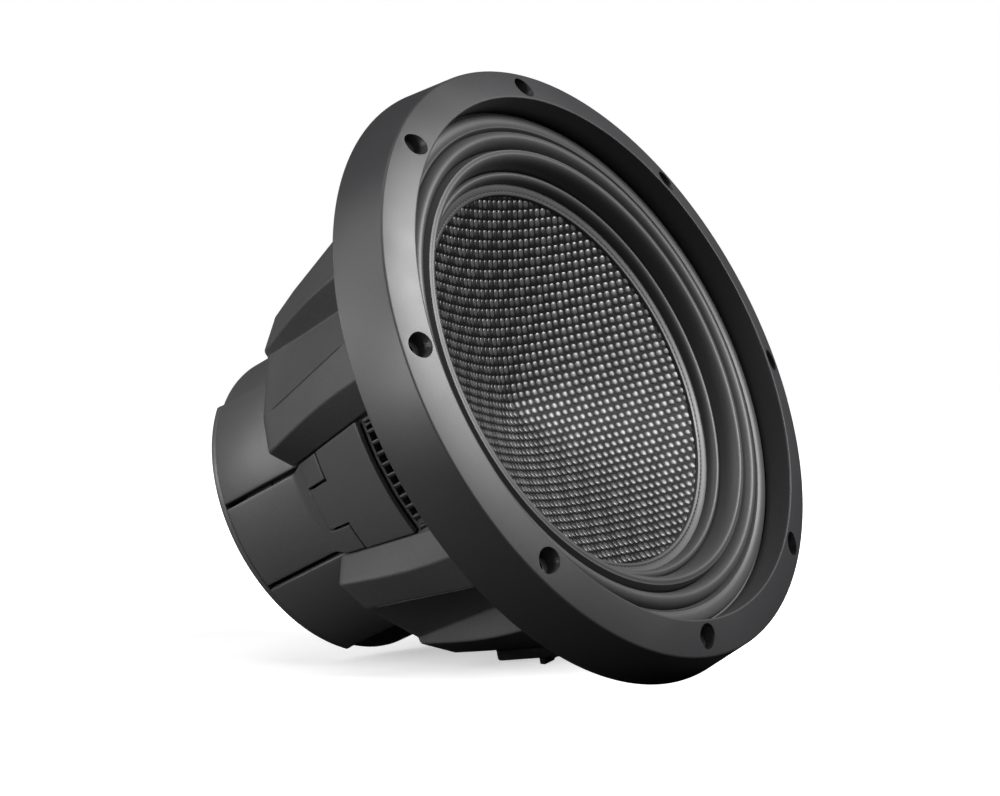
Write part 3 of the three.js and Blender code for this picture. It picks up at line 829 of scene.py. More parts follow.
def stitch_tree():
    tree = Tree("stitches", numbers=("Radius", "Count", "Height", "Thickness", "Length"), materials=("Thread",))
    line = tree.add("GeometryNodeMeshCircle", {"Radius": tree.input("Radius"), "Vertices": tree.input("Count")})
    line = tree.add("GeometryNodeMeshToCurve", {"Mesh": line.outputs[0]}).outputs[0]
    tangent = tree.add("GeometryNodeInputTangent").outputs[0]
    align = tree.add("FunctionNodeAlignRotationToVector", {"Vector": tangent}, axis="X").outputs[0]
    ball = tree.add("GeometryNodeMeshUVSphere",
                    {"Segments": 8, "Rings": 6, "Radius": tree.input("Thickness")}).outputs[0]
    longer = tree.math("DIVIDE", tree.input("Length"), tree.input("Thickness"))
    size = tree.add("ShaderNodeCombineXYZ", {"X": longer, "Y": 1.0, "Z": 0.8}).outputs[0]
    sewn = tree.add("GeometryNodeInstanceOnPoints",
                    {"Points": line, "Instance": ball, "Rotation": align, "Scale": size})
    height = tree.add("ShaderNodeCombineXYZ", {"Z": tree.input("Height")}).outputs[0]
    sewn = tree.add("GeometryNodeTranslateInstances",
                    {"Instances": sewn.outputs[0], "Translation": height, "Local Space": False}).outputs[0]
    real = tree.add("GeometryNodeRealizeInstances", {"Geometry": sewn}).outputs[0]
    tree.finish(real, "Thread")
    return tree


stitches = stitch_tree().grown("land_stitches", Radius=STITCH_RADIUS * MM, Count=float(STITCH_COUNT),
                               Height=STITCH_Z * MM, Thickness=THREAD * MM, Length=STITCH_REACH * MM,
                               Thread=stitch_thread)
stitches.data.shade_smooth()
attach(stitches, "cone_assembly")
print("stitches:", len(stitches.data.polygons), "faces")

# %% [markdown]
# ## Basket
# The casting has flat faces that meet on crisp but rounded edges, and each face is a little warped because
# its rear and front corners turn by different amounts. It could be modelled by pulling faces out of a
# cone and bevelling them. Here each height gets its own cross-section, worked out between the rear and
# the front corners and rounded, and a skin runs over the sections, so every edge keeps its radius.

# %% Basket cross-sections
BAYS = (90, 270)
BASKET_REAR, BASKET_FRONT = 53.0, 147.0
ARM = [  # angle from the bay's centre and radius at the rear, then at the front, and the edge's radius
    (5.1, 78.6, 5.1, 108.8, 0), (15.2, 78.6, 15.2, 108.8, 0.8), (15.4, 81.8, 15.4, 112.0, 0.5),
    (19.3, 94.0, 19.3, 120.0, 1.5), (29.3, 92.9, 29.3, 119.5, 0), (49.2, 90.3, 39.8, 108.4, 1.2),
    (50.0, 92.5, 43.5, 119.6, 1.3), (63.0, 92.5, 61.0, 119.4, 3), (76.5, 92.5, 76.5, 119.4, 3),
]
CREASE = 4  # the corner that a shallow groove follows
GROOVE_DEPTH, GROOVE_HALF_WIDTH = 0.7, 0.55
GROOVE_LOW, GROOVE_HIGH, GROOVE_RISE, GROOVE_FALL = 59, 124, 2, 4  # where it starts and ends, and how fast
BOW = {3: (1.3, 0.8), 5: (0.4, -1.0), 6: (0.4, 3.2)}  # degrees and millimetres a corner bows halfway up
CUTOUT_RADIUS = 117.2


def groove_corners(before, here, after, depth):
    """Five corners in place of one: a groove with a little of the flat face kept on each side."""
    middle = Vector(polar(*here[:2])[:2])
    sides = []
    for neighbour, reaches in ((before, (1.4, 1)), (after, (1, 1.4))):
        way = (Vector(polar(*neighbour[:2])[:2]) - middle).normalized()
        lips = [middle + way * (GROOVE_HALF_WIDTH * reach) for reach in reaches]
        sides.append([(math.degrees(math.atan2(lip.y, lip.x)), lip.length, 0) for lip in lips])
    return [*sides[0], (here[0], here[1] - depth, 0), *sides[1]]


def section_corners(z):
    """The outline's corners at a height, going round from the first bay's far side."""
    t = (z - BASKET_REAR) / (BASKET_FRONT - BASKET_REAR)
    start, end = (z - GROOVE_LOW) / GROOVE_RISE, (GROOVE_HIGH - z) / GROOVE_FALL
    groove = GROOVE_DEPTH * min(max(start, 0), 1) * min(max(end, 0), 1)
    corners = []
    for bay in BAYS:
        half = []
        for k, (a0, r0, a1, r1, edge) in enumerate(ARM):
            rear, front = Vector(polar(a0, r0)[:2]), Vector(polar(a1, r1)[:2])
            point = rear.lerp(front, t)
            turn, rise = BOW.get(k, (0, 0))
            bow = math.sin(math.pi * min(max(t, 0), 1))
            angle = math.degrees(math.atan2(point.y, point.x)) + turn * bow
            half.append((angle, point.length + rise * bow, edge))
        half[CREASE:CREASE + 1] = groove_corners(half[CREASE - 1], half[CREASE], half[CREASE + 1], groove)
        side_radius = half[-1][1]
        corners.append((*polar(bay - 90, side_radius)[:2], 3))
        corners += [(*polar(bay - a, r)[:2], e) for a, r, e in reversed(half)]
        corners += [(*polar(bay + a, r)[:2], e) for a, r, e in half]
    return corners


def inset(corners, amount):
    """The outline moved inwards by a distance, corner by corner along its bisector."""
    moved = []
    for i, (x, y, edge) in enumerate(corners):
        here = Vector((x, y))
        before = (here - Vector(corners[i - 1][:2])).normalized()
        after = (Vector(corners[(i + 1) % len(corners)][:2]) - here).normalized()
        inward = Vector((-before.y - after.y, before.x + after.x))
        scale = amount / max(0.35, inward.length_squared / 2)
        moved.append((here.x + inward.x * scale, here.y + inward.y * scale, edge))
    return moved


def section(z, inwards=0.0, height=None):
    """One row of the skin, kept inside the cut-out that the basket passes through."""
    loop = rounded(inset(section_corners(z), inwards) if inwards else section_corners(z), steps=4)
    row = []
    for x, y in loop:
        shrink = min(1.0, CUTOUT_RADIUS / math.hypot(x, y))
        row.append((x * shrink, y * shrink, z if height is None else height))
    return row


def circle_like(row, radius, height):
    """The same number of points as a row, drawn in to a circle."""
    return [(x * radius / math.hypot(x, y), y * radius / math.hypot(x, y), height) for x, y, _ in row]


print("basket section halfway up:", len(section(100)), "points")

# %% Basket shell
WALL, EDGE, SHELL_TOP, FLOOR_TOP = 3.2, 1.4, 146.4, 61
outer_rows = [section(z) for z in np.linspace(SHELL_TOP, BASKET_REAR + EDGE, 32)]
edge_rows = []
for turn in np.radians([22.5, 45, 67.5, 90]):
    height = BASKET_REAR + EDGE * (1 - math.sin(turn))
    edge_rows.append(section(BASKET_REAR, EDGE * (1 - math.cos(turn)), height))
rear = edge_rows[-1]
inner_rows = [section(z, WALL) for z in np.linspace(FLOOR_TOP, SHELL_TOP, 14)]
plate_rows = [circle_like(rear, radius, height) for radius, height in (  # the motor's recess and bore
    (75.4, BASKET_REAR), (74.8, 53.6), (74.8, 57), (37.3, 57), (37.3, FLOOR_TOP))]
arms = skin("arms", outer_rows + edge_rows + plate_rows + inner_rows, basket_coat)
print("arms before their openings:", len(arms.data.polygons), "faces")

# %% [markdown]
# ## Openings in the basket
# The shell is closed at first, and then cut: two feet where the lower covers pass, two vents behind the
# combs, and the seat of the terminal block, which leans with the basket's wall. Leaving faces out of the
# skin would give ragged edges, while a Boolean cuts through both walls at once.

# %% Openings in the basket: the bays' feet, the vents and the terminal
for bay in BAYS:
    cut(arms, sector_cutter(bay - 15.1, bay + 15.1, 73, 120, 50, 62.5))
    cut(arms, sector_cutter(bay - 13, bay + 13, 88, 125, 110, 138))
TERMINAL_ANGLE, TERMINAL_TILT, TERMINAL_FACE, TERMINAL_REAR = 173.25, 15.86, 93.0, 57.0
terminal_place = (Matrix.Rotation(math.radians(TERMINAL_ANGLE), 4, "Z")
                  @ Matrix.Translation(Vector((TERMINAL_FACE, 0, TERMINAL_REAR)) * MM)
                  @ Matrix.Rotation(math.radians(TERMINAL_TILT), 4, "Y"))
terminal_hole = block("cutter", (-20, 4), (-7.5, 7.5), (3.5, 44.5))
terminal_hole.data.transform(terminal_place)
cut(arms, terminal_hole)
print("arms:", len(arms.data.polygons), "faces")

# %% Basket flange, landing and spider ledge
flange = turned("flange", rounded([
    (104, 146, 0.3), (132.6, 146, 0.5), (132.6, 149.8, 0.4), (122.1, 149.8, 0.4), (122.1, 157, 0.4),
    (117.3, 157, 0.4), (117.3, 149.8, 0.8), (104, 149.8, 0.4),
]), basket_coat)
SCREW_BORE = [(0, 140), (2.5, 140), (2.5, 152), (0, 152)]
for hole_angle in HOLE_ANGLES:
    cut(flange, round_cutter(polar(hole_angle, HOLE_CIRCLE), SCREW_BORE, 24))
LEDGE = rounded([(79.5, 81.7, 0.3), (88, 81.7, 0.2), (88, 84.7, 0.2), (79.5, 84.7, 0.3)])
ledge = turned("ledge", LEDGE, basket_coat, 160)
basket = joined("basket_casting", [arms, flange, ledge])
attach(basket, "chassis")
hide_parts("basket")
print("basket:", len(basket.data.polygons), "faces")

# %% [markdown]
# ## Bay covers
# Each bay between the arms is closed by two thin mouldings that meet in a stepped line: the upper one has a
# tab that drops into a notch in the lower one. Such a shape could be cut with Booleans, but a sheet of
# quads with some left out, thickened by Solidify and rounded by Bevel, keeps clean edges all round.

# %% Helper: a thin moulding on a surface of revolution
def sheet(name, radius_at, angles, heights, keep, thickness, edge, material):
    """Quads over angles and heights where keep(angle, height) holds, thickened inwards and rounded."""
    points = [polar(a, radius_at(z), z) for z in heights for a in angles]
    width = len(angles)
    faces = []
    for i in range(len(heights) - 1):
        for j in range(width - 1):
            middle = ((angles[j] + angles[j + 1]) / 2, (heights[i] + heights[i + 1]) / 2)
            if keep(*middle):
                a = i * width + j
                faces.append((a, a + 1, a + width + 1, a + width))
    piece = mesh_piece(name, points, faces, material)
    shape = bmesh.new()
    shape.from_mesh(piece.data)
    loose = [v for v in shape.verts if not v.link_faces]
    bmesh.ops.delete(shape, geom=loose, context="VERTS")
    shape.normal_update()
    first = shape.faces[:][0]
    if first.normal.dot(first.calc_center_median() * Vector((1, 1, 0))) < 0:
        bmesh.ops.reverse_faces(shape, faces=shape.faces)
    shape.to_mesh(piece.data)
    shape.free()
    solidify = piece.modifiers.new("thicken", "SOLIDIFY")
    solidify.thickness = thickness * MM
    solidify.offset = -1
    solidify.use_even_offset = True
    applied(piece)
    tidy_mesh(piece, 0)
    return soften(piece, edge, 3, 50)


print("sheet helper ready")

# %% [markdown]
# ## How the covers run
# The lower cover hugs the motor, bends out, and then runs up at the same slope as the upper one, so that
# the two meet flush. A radius worked out from the height says all of that in a few lines.

# %% Surfaces that the covers follow
TAB_HALF = 6.3
FLARE_Z, TAB_Z, STEP_Z, COVER_TOP, COVER_FOOT = 46.6, 59.3, 73.0, 107.6, 3.5
SEAM = 1.2
COVER_WALL, COVER_EDGE = 2.2, 0.5
BOOT_RADIUS = 74.3
TAB_RADIUS, COVER_SLOPE = 83.8, 0.325
FLARE_BEND = 1.5  # the bend into the flare takes this much height below and above FLARE_Z


def cover_radius(z):
    """The upper cover leans outwards as it rises."""
    return TAB_RADIUS + COVER_SLOPE * (z - TAB_Z)


def strip_radius(z):
    """The lower cover follows the motor, then flares out to meet the upper one."""
    if z <= FLARE_Z - FLARE_BEND:
        return BOOT_RADIUS
    spread = cover_radius(TAB_Z) - BOOT_RADIUS
    if z <= FLARE_Z + FLARE_BEND:
        t = (z - FLARE_Z + FLARE_BEND) / (2 * FLARE_BEND)
        return BOOT_RADIUS + spread * FLARE_BEND / (TAB_Z - FLARE_Z) * t * t
    return min(BOOT_RADIUS + spread * (z - FLARE_Z) / (TAB_Z - FLARE_Z), cover_radius(z))


print("radii of the lower cover:", [round(strip_radius(z), 1) for z in (10, FLARE_Z, TAB_Z, STEP_Z)])

# %% Upper and lower covers in both bays
for mark, bay in zip("ab", BAYS):
    steps = sorted({*np.linspace(-14.8, 14.8, 25).round(3), -TAB_HALF, TAB_HALF})
    heights = sorted({*np.linspace(TAB_Z, COVER_TOP, 20).round(3), STEP_Z + SEAM / 2})
    upper = sheet("bay_cover_upper_" + mark, cover_radius, [bay + a for a in steps], heights,
                  lambda a, z, bay=bay: z > STEP_Z + SEAM / 2 or abs(a - bay) < TAB_HALF,
                  COVER_WALL, COVER_EDGE, cover_plastic)
    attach(upper, "chassis")
    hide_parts("bay_cover_" + mark)
    notch = TAB_HALF + SEAM / 1.5
    steps = sorted({*np.linspace(-14.7, 14.7, 25).round(3), -notch, notch})
    heights = sorted({
        *np.linspace(COVER_FOOT, FLARE_Z - 2, 8).round(3),
        *np.linspace(FLARE_Z - FLARE_BEND, FLARE_Z + FLARE_BEND, 5),
        *np.linspace(FLARE_Z + 2.5, TAB_Z - SEAM, 7).round(3), *np.linspace(TAB_Z + 1, STEP_Z - SEAM / 2, 6),
    })
    lower = sheet("bay_cover_lower_" + mark, strip_radius, [bay + a for a in steps], heights,
                  lambda a, z, bay=bay: z < TAB_Z - SEAM or abs(a - bay) > notch,
                  COVER_WALL, COVER_EDGE, cover_plastic)
    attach(lower, "chassis")
    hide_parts("motor_bay_cover_" + mark)
    print("bay", mark, "covers:", len(upper.data.polygons), "and", len(lower.data.polygons), "faces")

# %% [markdown]
# ## Vent combs
# Above each bay a row of rounded teeth screens the vent. One tooth is bevelled from a box and Geometry
# Nodes sets copies of it along an arc, each turned to face outwards. An array could do it too, but the
# tree takes the bay's direction as an input and serves both combs.

# %% The comb's tree
TEETH, TOOTH_PITCH = 11, 2.45
COMB_RADIUS, COMB_FOOT = 111.6, 122
RAIL_RADIUS, RAIL_HEIGHTS = 110.5, [138.5, 142, 145.6]


def comb_tree():
    tree = Tree("comb", numbers=("Radius", "Middle", "Pitch", "Count", "Foot height"), objects=("Tooth",),
                materials=("Plastic",))
    line = tree.add("GeometryNodeMeshLine", {"Count": tree.input("Count"), "Offset": (0, 0, 0)}).outputs[0]
    index = tree.add("GeometryNodeInputIndex").outputs[0]
    half = tree.math("DIVIDE", tree.math("SUBTRACT", tree.input("Count"), 1.0), 2.0)
    turn = tree.math("MULTIPLY", tree.math("SUBTRACT", index, half), tree.input("Pitch"))
    turn = tree.math("ADD", turn, tree.input("Middle"))
    x = tree.math("MULTIPLY", tree.math("COSINE", turn), tree.input("Radius"))
    y = tree.math("MULTIPLY", tree.math("SINE", turn), tree.input("Radius"))
    place = tree.add("ShaderNodeCombineXYZ", {"X": x, "Y": y, "Z": tree.input("Foot height")}).outputs[0]
    line = tree.add("GeometryNodeSetPosition", {"Geometry": line, "Position": place}).outputs[0]
    euler = tree.add("ShaderNodeCombineXYZ", {"Z": turn}).outputs[0]
    turned_out = tree.add("FunctionNodeEulerToRotation", {0: euler}).outputs[0]
    shape = tree.add("GeometryNodeObjectInfo", {"Object": tree.input("Tooth")}, transform_space="ORIGINAL")
    copies = tree.add("GeometryNodeInstanceOnPoints",
                      {"Points": line, "Instance": shape.outputs["Geometry"], "Rotation": turned_out})
    real = tree.add("GeometryNodeRealizeInstances", {"Geometry": copies.outputs[0]}).outputs[0]
    tree.finish(real, "Plastic")
    return tree


comb = comb_tree()
print("comb tree:", len(comb.group.nodes), "nodes")

# %% Vent combs: teeth on a rail
tooth = soften(block("tooth", (-1.5, 1.5), (-0.95, 0.95), (0, 23.6), comb_plastic), 0.75, 4)
for mark, bay in zip("ab", BAYS):
    sizes = {"Radius": COMB_RADIUS * MM, "Middle": math.radians(bay), "Pitch": math.radians(TOOTH_PITCH),
             "Count": float(TEETH), "Foot height": COMB_FOOT * MM}
    teeth = comb.grown("teeth", Tooth=tooth, Plastic=comb_plastic, **sizes)
    reach = (TEETH - 1) / 2 * TOOTH_PITCH + 1
    rail = sheet("rail", lambda z: RAIL_RADIUS, list(np.linspace(bay - reach, bay + reach, 20)), RAIL_HEIGHTS,
                 lambda a, z: True, 1.2, 0.3, comb_plastic)
    screen = joined("vent_comb_teeth_" + mark, [rail, teeth])
    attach(screen, "chassis")
    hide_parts("vent_comb_" + mark)
    print("comb", mark + ":", len(screen.data.polygons), "faces")
bpy.data.objects.remove(tooth)

# %% [markdown]
# ## Motor cover
# The cover is a cup with a flat rim. In plan its wall steps in by a few millimetres at both sides, and it is
# open where the bay covers run down. Each half is drawn in plan as a closed outline with rounded corners,
# raised to its height with rounded ends, and both stand on one turned rim.

# %% Helper: raise a plan outline, with rounded ends
def raised(name, corners, z0, z1, edge, material):
    """A plan outline between two heights; the outline draws in a little at both."""
    rows = []
    near = 0.3 * edge
    for height, amount in ((z0, edge), (z0 + near, near), (z0 + edge, 0),
                           (z1 - edge, 0), (z1 - near, near), (z1, edge)):
        loop = rounded(inset(corners, amount) if amount else corners, steps=3)
        rows.append([(x, y, height) for x, y in loop])
    rows = np.array(rows)
    count, width = rows.shape[:2]
    faces = []
    for i in range(count - 1):
        for j in range(width):
            a, b = i * width + j, i * width + (j + 1) % width
            faces.append((a, b, b + width, a + width))
    faces += [tuple(range(width))[::-1], tuple((count - 1) * width + j for j in range(width))]
    return mesh_piece(name, rows.reshape(-1, 3), faces, material)


print("raised outline helper ready")

# %% Motor cover: its two halves in plan
SIDE_RADIUS, COVER_INNER, SIDE_HALF, SLOT_HALF, COVER_HEIGHT = 71.6, 70.5, 34.5, 16.5, 56.4
HALVES = (0, 180)
STEP_TURN, PLAN_TURN = 0.5, 1.2  # degrees that the step takes, and between two points of the plan


def arcs(side, low, high):
    """The outside of one half: full radius, the stepped side, full radius again."""
    return ((low, side - SIDE_HALF, BOOT_RADIUS, 0.7),
            (side - SIDE_HALF + STEP_TURN, side + SIDE_HALF - STEP_TURN, SIDE_RADIUS, 0.5),
            (side + SIDE_HALF, high, BOOT_RADIUS, 0.7))


def half_cover(side):
    """One half in plan: out along the first end, round the outside with its step, and back inside."""
    low, high = side - 90 + SLOT_HALF, side + 90 - SLOT_HALF
    corners = [(*polar(low, COVER_INNER)[:2], 0.3)]
    for start, end, radius, edge in arcs(side, low, high):
        sweep = np.linspace(start, end, max(3, int((end - start) / PLAN_TURN)))
        for k, a in enumerate(sweep):
            corners.append((*polar(a, radius)[:2], edge if k in (0, len(sweep) - 1) else 0))
    for k, a in enumerate(np.linspace(high, low + 1, 80)):
        corners.append((*polar(a, COVER_INNER)[:2], 0.3 if k == 0 else 0))
    return corners


halves = [raised("half", half_cover(side), 2.6, COVER_HEIGHT, 0.7, cover_plastic) for side in HALVES]
print("halves:", [len(half.data.polygons) for half in halves], "faces")

# %% [markdown]
# ## The motor cover's rim
# The foot is a flat ring whose outside has the same steps as the halves above it. Its outline changes its
# radius along the way round, so it is a skin over many outlines rather than one turned piece.

# %% Motor cover: the rim, and the whole cup
RIM_INNER = 60


def rim_outline(radius):
    """The rim's flat foot and the low wall that the halves stand on."""
    return rounded([(RIM_INNER, 0, 0.4), (radius, 0, 1.2), (radius, 3.3, 0.3), (COVER_INNER, 3.3, 0.2),
                    (COVER_INNER, 1.2, 0.3), (RIM_INNER, 1.2, 0.3)], 3)


rim_rows = []
for side in HALVES:
    for start, end, radius, _ in arcs(side, side - 90, side + 89):
        for a in np.linspace(start, end, int((end - start) / PLAN_TURN)):
            rim_rows.append([polar(a, r, z) for r, z in rim_outline(radius)])
rim = skin("rim", rim_rows, cover_plastic)
motor_cover = joined("motor_cover_cup", [rim, *halves])
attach(motor_cover, "chassis")
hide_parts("motor_cover")
print("motor cover:", len(motor_cover.data.polygons), "faces")

# %% [markdown]
# ## Turned pieces inside and behind
# Gasket, magnets, plates, pole, coil, support cone and spider are all round. Each could have a cell of its
# own, but they differ only in outline, so one table holds for each node its piece's name, body, material
# and slot, and one loop turns them all. The spider gets no body: like the surround, it only has its
# transform baked in.

# %% Turned pieces
def corrugated(inner, outer, height, rolls, rise, thickness):
    """A flat cloth ring with sine rolls between two flat lands."""
    radii = np.linspace(inner, outer, 120)
    share = np.clip((radii - inner - 4) / (outer - inner - 9.5), 0, 1)
    top = [(r, height + thickness + rise * math.sin(2 * math.pi * rolls * s)) for r, s in zip(radii, share)]
    return top + [(r, z - thickness) for r, z in reversed(top)]


GASKET_HOLE = [(0, 140), (3.1, 140), (3.1, 148), (0, 148)]
TURNED = {
    "mounting_gasket": ("gasket_ring", "chassis", gasket_foam, "foam", rounded([
        (119, 143, 0.7), (132.2, 143, 0.7), (132.2, 145.7, 0.7), (119, 145.7, 0.7)])),
    "back_plate_and_pole": ("back_plate_turned", "chassis", motor_steel, "motor_steel", rounded([
        (17, 1.5, 0.5), (66, 1.5, 0.8), (66, 11.5, 0.8), (30.5, 11.5, 0.4), (30.5, 60, 1), (15, 60, 0.8),
        (13, 58, 0.5), (13, 3.5, 0.3), (17, 3.5, 0.2)])),
    "magnet_rear": ("magnet_ring_rear", "chassis", ferrite, "ferrite", rounded([
        (38, 11.8, 0.8), (70, 11.8, 0.8), (70, 28.8, 0.8), (38, 28.8, 0.8)])),
    "magnet_front": ("magnet_ring_front", "chassis", ferrite, "ferrite", rounded([
        (38, 29.1, 0.8), (70, 29.1, 0.8), (70, 46.1, 0.8), (38, 46.1, 0.8)])),
    "shorting_ring": ("shorting_ring_turned", "chassis", aluminium, "former", rounded([
        (34.8, 11.8, 0.3), (37.6, 11.8, 0.3), (37.6, 25.5, 0.3), (34.8, 25.5, 0.3)])),
    "voice_coil_former": ("coil_former_tube", "cone_assembly", aluminium, "former", rounded([
        (31.6, 32, 0), (32, 32, 0), (32, 120.4, 0), (31.6, 120.4, 0)])),
    "voice_coil_winding": ("coil_winding_layers", "cone_assembly", copper, "coil_copper", rounded([
        (32.1, 32.6, 0.2), (33.6, 32.6, 0.5), (33.6, 70, 0.5), (32.1, 70, 0.2)])),
    "support_cone": ("support_cone_pressing", "cone_assembly", pulp, "cone_pulp", rounded([
        (32.3, 97, 0), (33.5, 97, 0), (35, 101, 2), (60, 121, 8), (82.5, 140.3, 1), (88.3, 142.6, 0.4),
        (88.3, 143.7, 0.3), (81.1, 141.5, 1), (60, 122.6, 8), (34, 103, 1), (32.3, 105, 0)])),
    "spider": ("spider_disc", None, spider_cloth, "spider_cloth", corrugated(32.3, 85, 85, 4, 2, 0.7)),
}
for node_name, (name, body, material, slot_name, outline) in TURNED.items():
    piece = turned(name, outline, material, SEGMENTS if node_name in ("mounting_gasket", "spider") else 180)
    if node_name == "mounting_gasket":
        for hole_angle in HOLE_ANGLES:
            cut(piece, round_cutter(polar(hole_angle, HOLE_CIRCLE), GASKET_HOLE, 24))
    if body:
        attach(piece, body)
    else:
        flex(piece)
    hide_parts(node_name)
    print(name + ":", len(piece.data.polygons), "faces")

# %% [markdown]
# ## Vent screen
# The pole's vent is closed by a disc of woven wire in a pressed rim. The wires are short tubes that rise
# and fall over each other. Curves with a bevel could draw them, but each is only six sides round, so the
# points are written straight into one mesh, as the braided leads' strands are further down.

# %% Helper: add a six-sided tube along a path
def add_tube(points, faces, path, across, radius):
    """Rings of six points round the path, in the plane of `across` and the axis, with both ends closed."""
    base = len(points)
    for middle in path:
        for k in range(6):
            turn = k * math.pi / 3
            points.append(middle + across * (radius * math.cos(turn)) + Vector((0, 0, radius * math.sin(turn))))
    for i in range(len(path) - 1):
        for k in range(6):
            a, b = base + i * 6 + k, base + i * 6 + (k + 1) % 6
            faces.append((a, b, b + 6, a + 6))
    faces += [tuple(base + k for k in range(6)), tuple(len(points) - 6 + k for k in range(6))]


print("tube helper ready")

# %% Vent screen
SCREEN_RADIUS, WIRE_PITCH, WIRE = 16.2, 1.5, 0.26
SCREEN_Z, WIRE_RISE = 2.45, 0.22
HOOP = rounded([(15.2, 1.9, 0.4), (16.6, 1.9, 0.4), (16.6, 3.1, 0.4), (15.2, 3.1, 0.4)])


def wire_path(offset, over, along_x):
    """A wire at one offset from the middle, waving over and under the ones it crosses."""
    reach = math.sqrt(max(SCREEN_RADIUS ** 2 - offset ** 2, 0.1))
    path = []
    for s in np.arange(-reach, reach + 0.1, WIRE_PITCH / 3):
        z = SCREEN_Z + WIRE_RISE * math.cos(math.pi * s / WIRE_PITCH + (math.pi if over else 0))
        path.append(Vector((s, offset, z) if along_x else (offset, s, z)))
    return path


def wires(material):
    points, faces = [], []
    count = int(SCREEN_RADIUS / WIRE_PITCH)
    for along_x, across in ((True, Vector((0, 1, 0))), (False, Vector((1, 0, 0)))):
        for i in range(-count, count + 1):
            path = wire_path(i * WIRE_PITCH, (i % 2 == 0) == along_x, along_x)
            add_tube(points, faces, path, across, WIRE)
    return mesh_piece("wires", [tuple(p) for p in points], faces, material, merge=0)


hoop = turned("hoop", HOOP, motor_steel, 96)
vent_screen = joined("vent_screen_weave", [hoop, wires(motor_steel)])
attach(vent_screen, "chassis")
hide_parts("vent_screen")
print("vent screen:", len(vent_screen.data.polygons), "faces")

# %% [markdown]
# ## Terminal, contacts, buttons and screws
# These are small block-like mouldings, stampings and screws whose shape is already right, and the motor's
# top plate, which has the screws' bores. Modelling them again would only repeat their numbers, so each
# gets a copy of its solid with the flat faces merged and every edge rounded, as a moulded part has.

# %% Softened copies
def softened_copy(node_name, name, width, material, body, slot_name):
    """A node's own solid, copied, merged, rounded and given its finish."""
    mesh = frame["nodes"][node_name].data.copy()
    piece = placed(name, mesh)
    mesh.materials.clear()
    mesh.materials.append(material)
    shape = bmesh.new()
    shape.from_mesh(mesh)
    bmesh.ops.remove_doubles(shape, verts=shape.verts, dist=1e-6)
    bmesh.ops.dissolve_limit(shape, angle_limit=math.radians(2), verts=shape.verts, edges=shape.edges)
    shape.to_mesh(mesh)
    shape.free()
    soften(piece, width, 2)
    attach(piece, body)
    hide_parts(node_name)
    return piece


SMALL = [  # node, piece, width of the rounded edge, material, body, slot
    ("terminal_block", "terminal_moulding", 0.35, button_plastic, "chassis", "button_plastic"),
    ("push_button_plus", "button_cap_plus", 0.6, button_plastic, "plus_button", "button_plastic"),
    ("push_button_minus", "button_cap_minus", 0.6, button_plastic, "minus_button", "button_plastic"),
    ("contact_plus", "contact_jaw_plus", 0.25, gold, "chassis", "contact_gold"),
    ("contact_minus", "contact_jaw_minus", 0.25, gold, "chassis", "contact_gold"),
    *((f"basket_screw_{i}", f"socket_screw_{i}", 0.25, motor_steel, "chassis", "motor_steel")
      for i in range(1, 7)),
    ("top_plate", "top_plate_turned", 0.4, motor_steel, "chassis", "motor_steel"),
]
for row in SMALL:
    piece = softened_copy(*row)
    print(piece.name + ":", len(piece.data.polygons), "faces")

# %% [markdown]
# ## Braided leads
# A lead joins the terminal's inner end to the coil. On the real speaker it is fixed at both ends and bends
# as the cone moves; here it only has its transform baked in and joins neither body. A plain tube would read
# as wire; six strands twisted round one path, half of them each way, read as braid.

# %% Braided leads
STRANDS, TWISTS = 6, 9
STRAND_CIRCLE, STRAND_RADIUS = 0.62, 0.42
TERMINAL_END, COIL_END = (3.4, 93.4), (10, 32.3)  # degrees from the terminal's middle, and radius
LEAD_SHARES, LEAD_HEIGHTS = [0, 0.12, 0.5, 0.85, 1], [92, 93.4, 91.6, 94.4, 94.4]


def braided_lead(side):
    """Six twisted strands from the terminal to the coil, and the two ends."""
    start = Vector(polar(TERMINAL_ANGLE + side * TERMINAL_END[0], TERMINAL_END[1]))
    end = Vector(polar(TERMINAL_ANGLE + side * COIL_END[0], COIL_END[1]))
    stations = np.linspace(0, 1, 90)
    height = np.interp(stations, LEAD_SHARES, LEAD_HEIGHTS)
    height = np.convolve(np.pad(height, 6, mode="edge"), np.ones(13) / 13, mode="valid")
    across = (end - start).normalized().cross(Vector((0, 0, 1)))
    points, faces = [], []
    for strand in range(STRANDS):
        path = []
        for s, z in zip(stations, height):
            turn = 2 * math.pi * (strand / STRANDS + TWISTS * s * (1 if strand % 2 else -1))
            aside = across * (STRAND_CIRCLE * math.cos(turn))
            path.append(start.lerp(end, s) + aside + Vector((0, 0, z + STRAND_CIRCLE * math.sin(turn))))
        add_tube(points, faces, path, across, STRAND_RADIUS)
    return mesh_piece("lead", [tuple(p) for p in points], faces, copper, merge=0), start, end


for mark, side in (("plus", 1), ("minus", -1)):
    lead, lead_start, lead_end = braided_lead(side)
    lead.name = "braided_lead_" + mark
    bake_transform(lead)
    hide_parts("tinsel_lead_" + mark)
    print(lead.name + ":", len(lead.data.polygons), "faces")
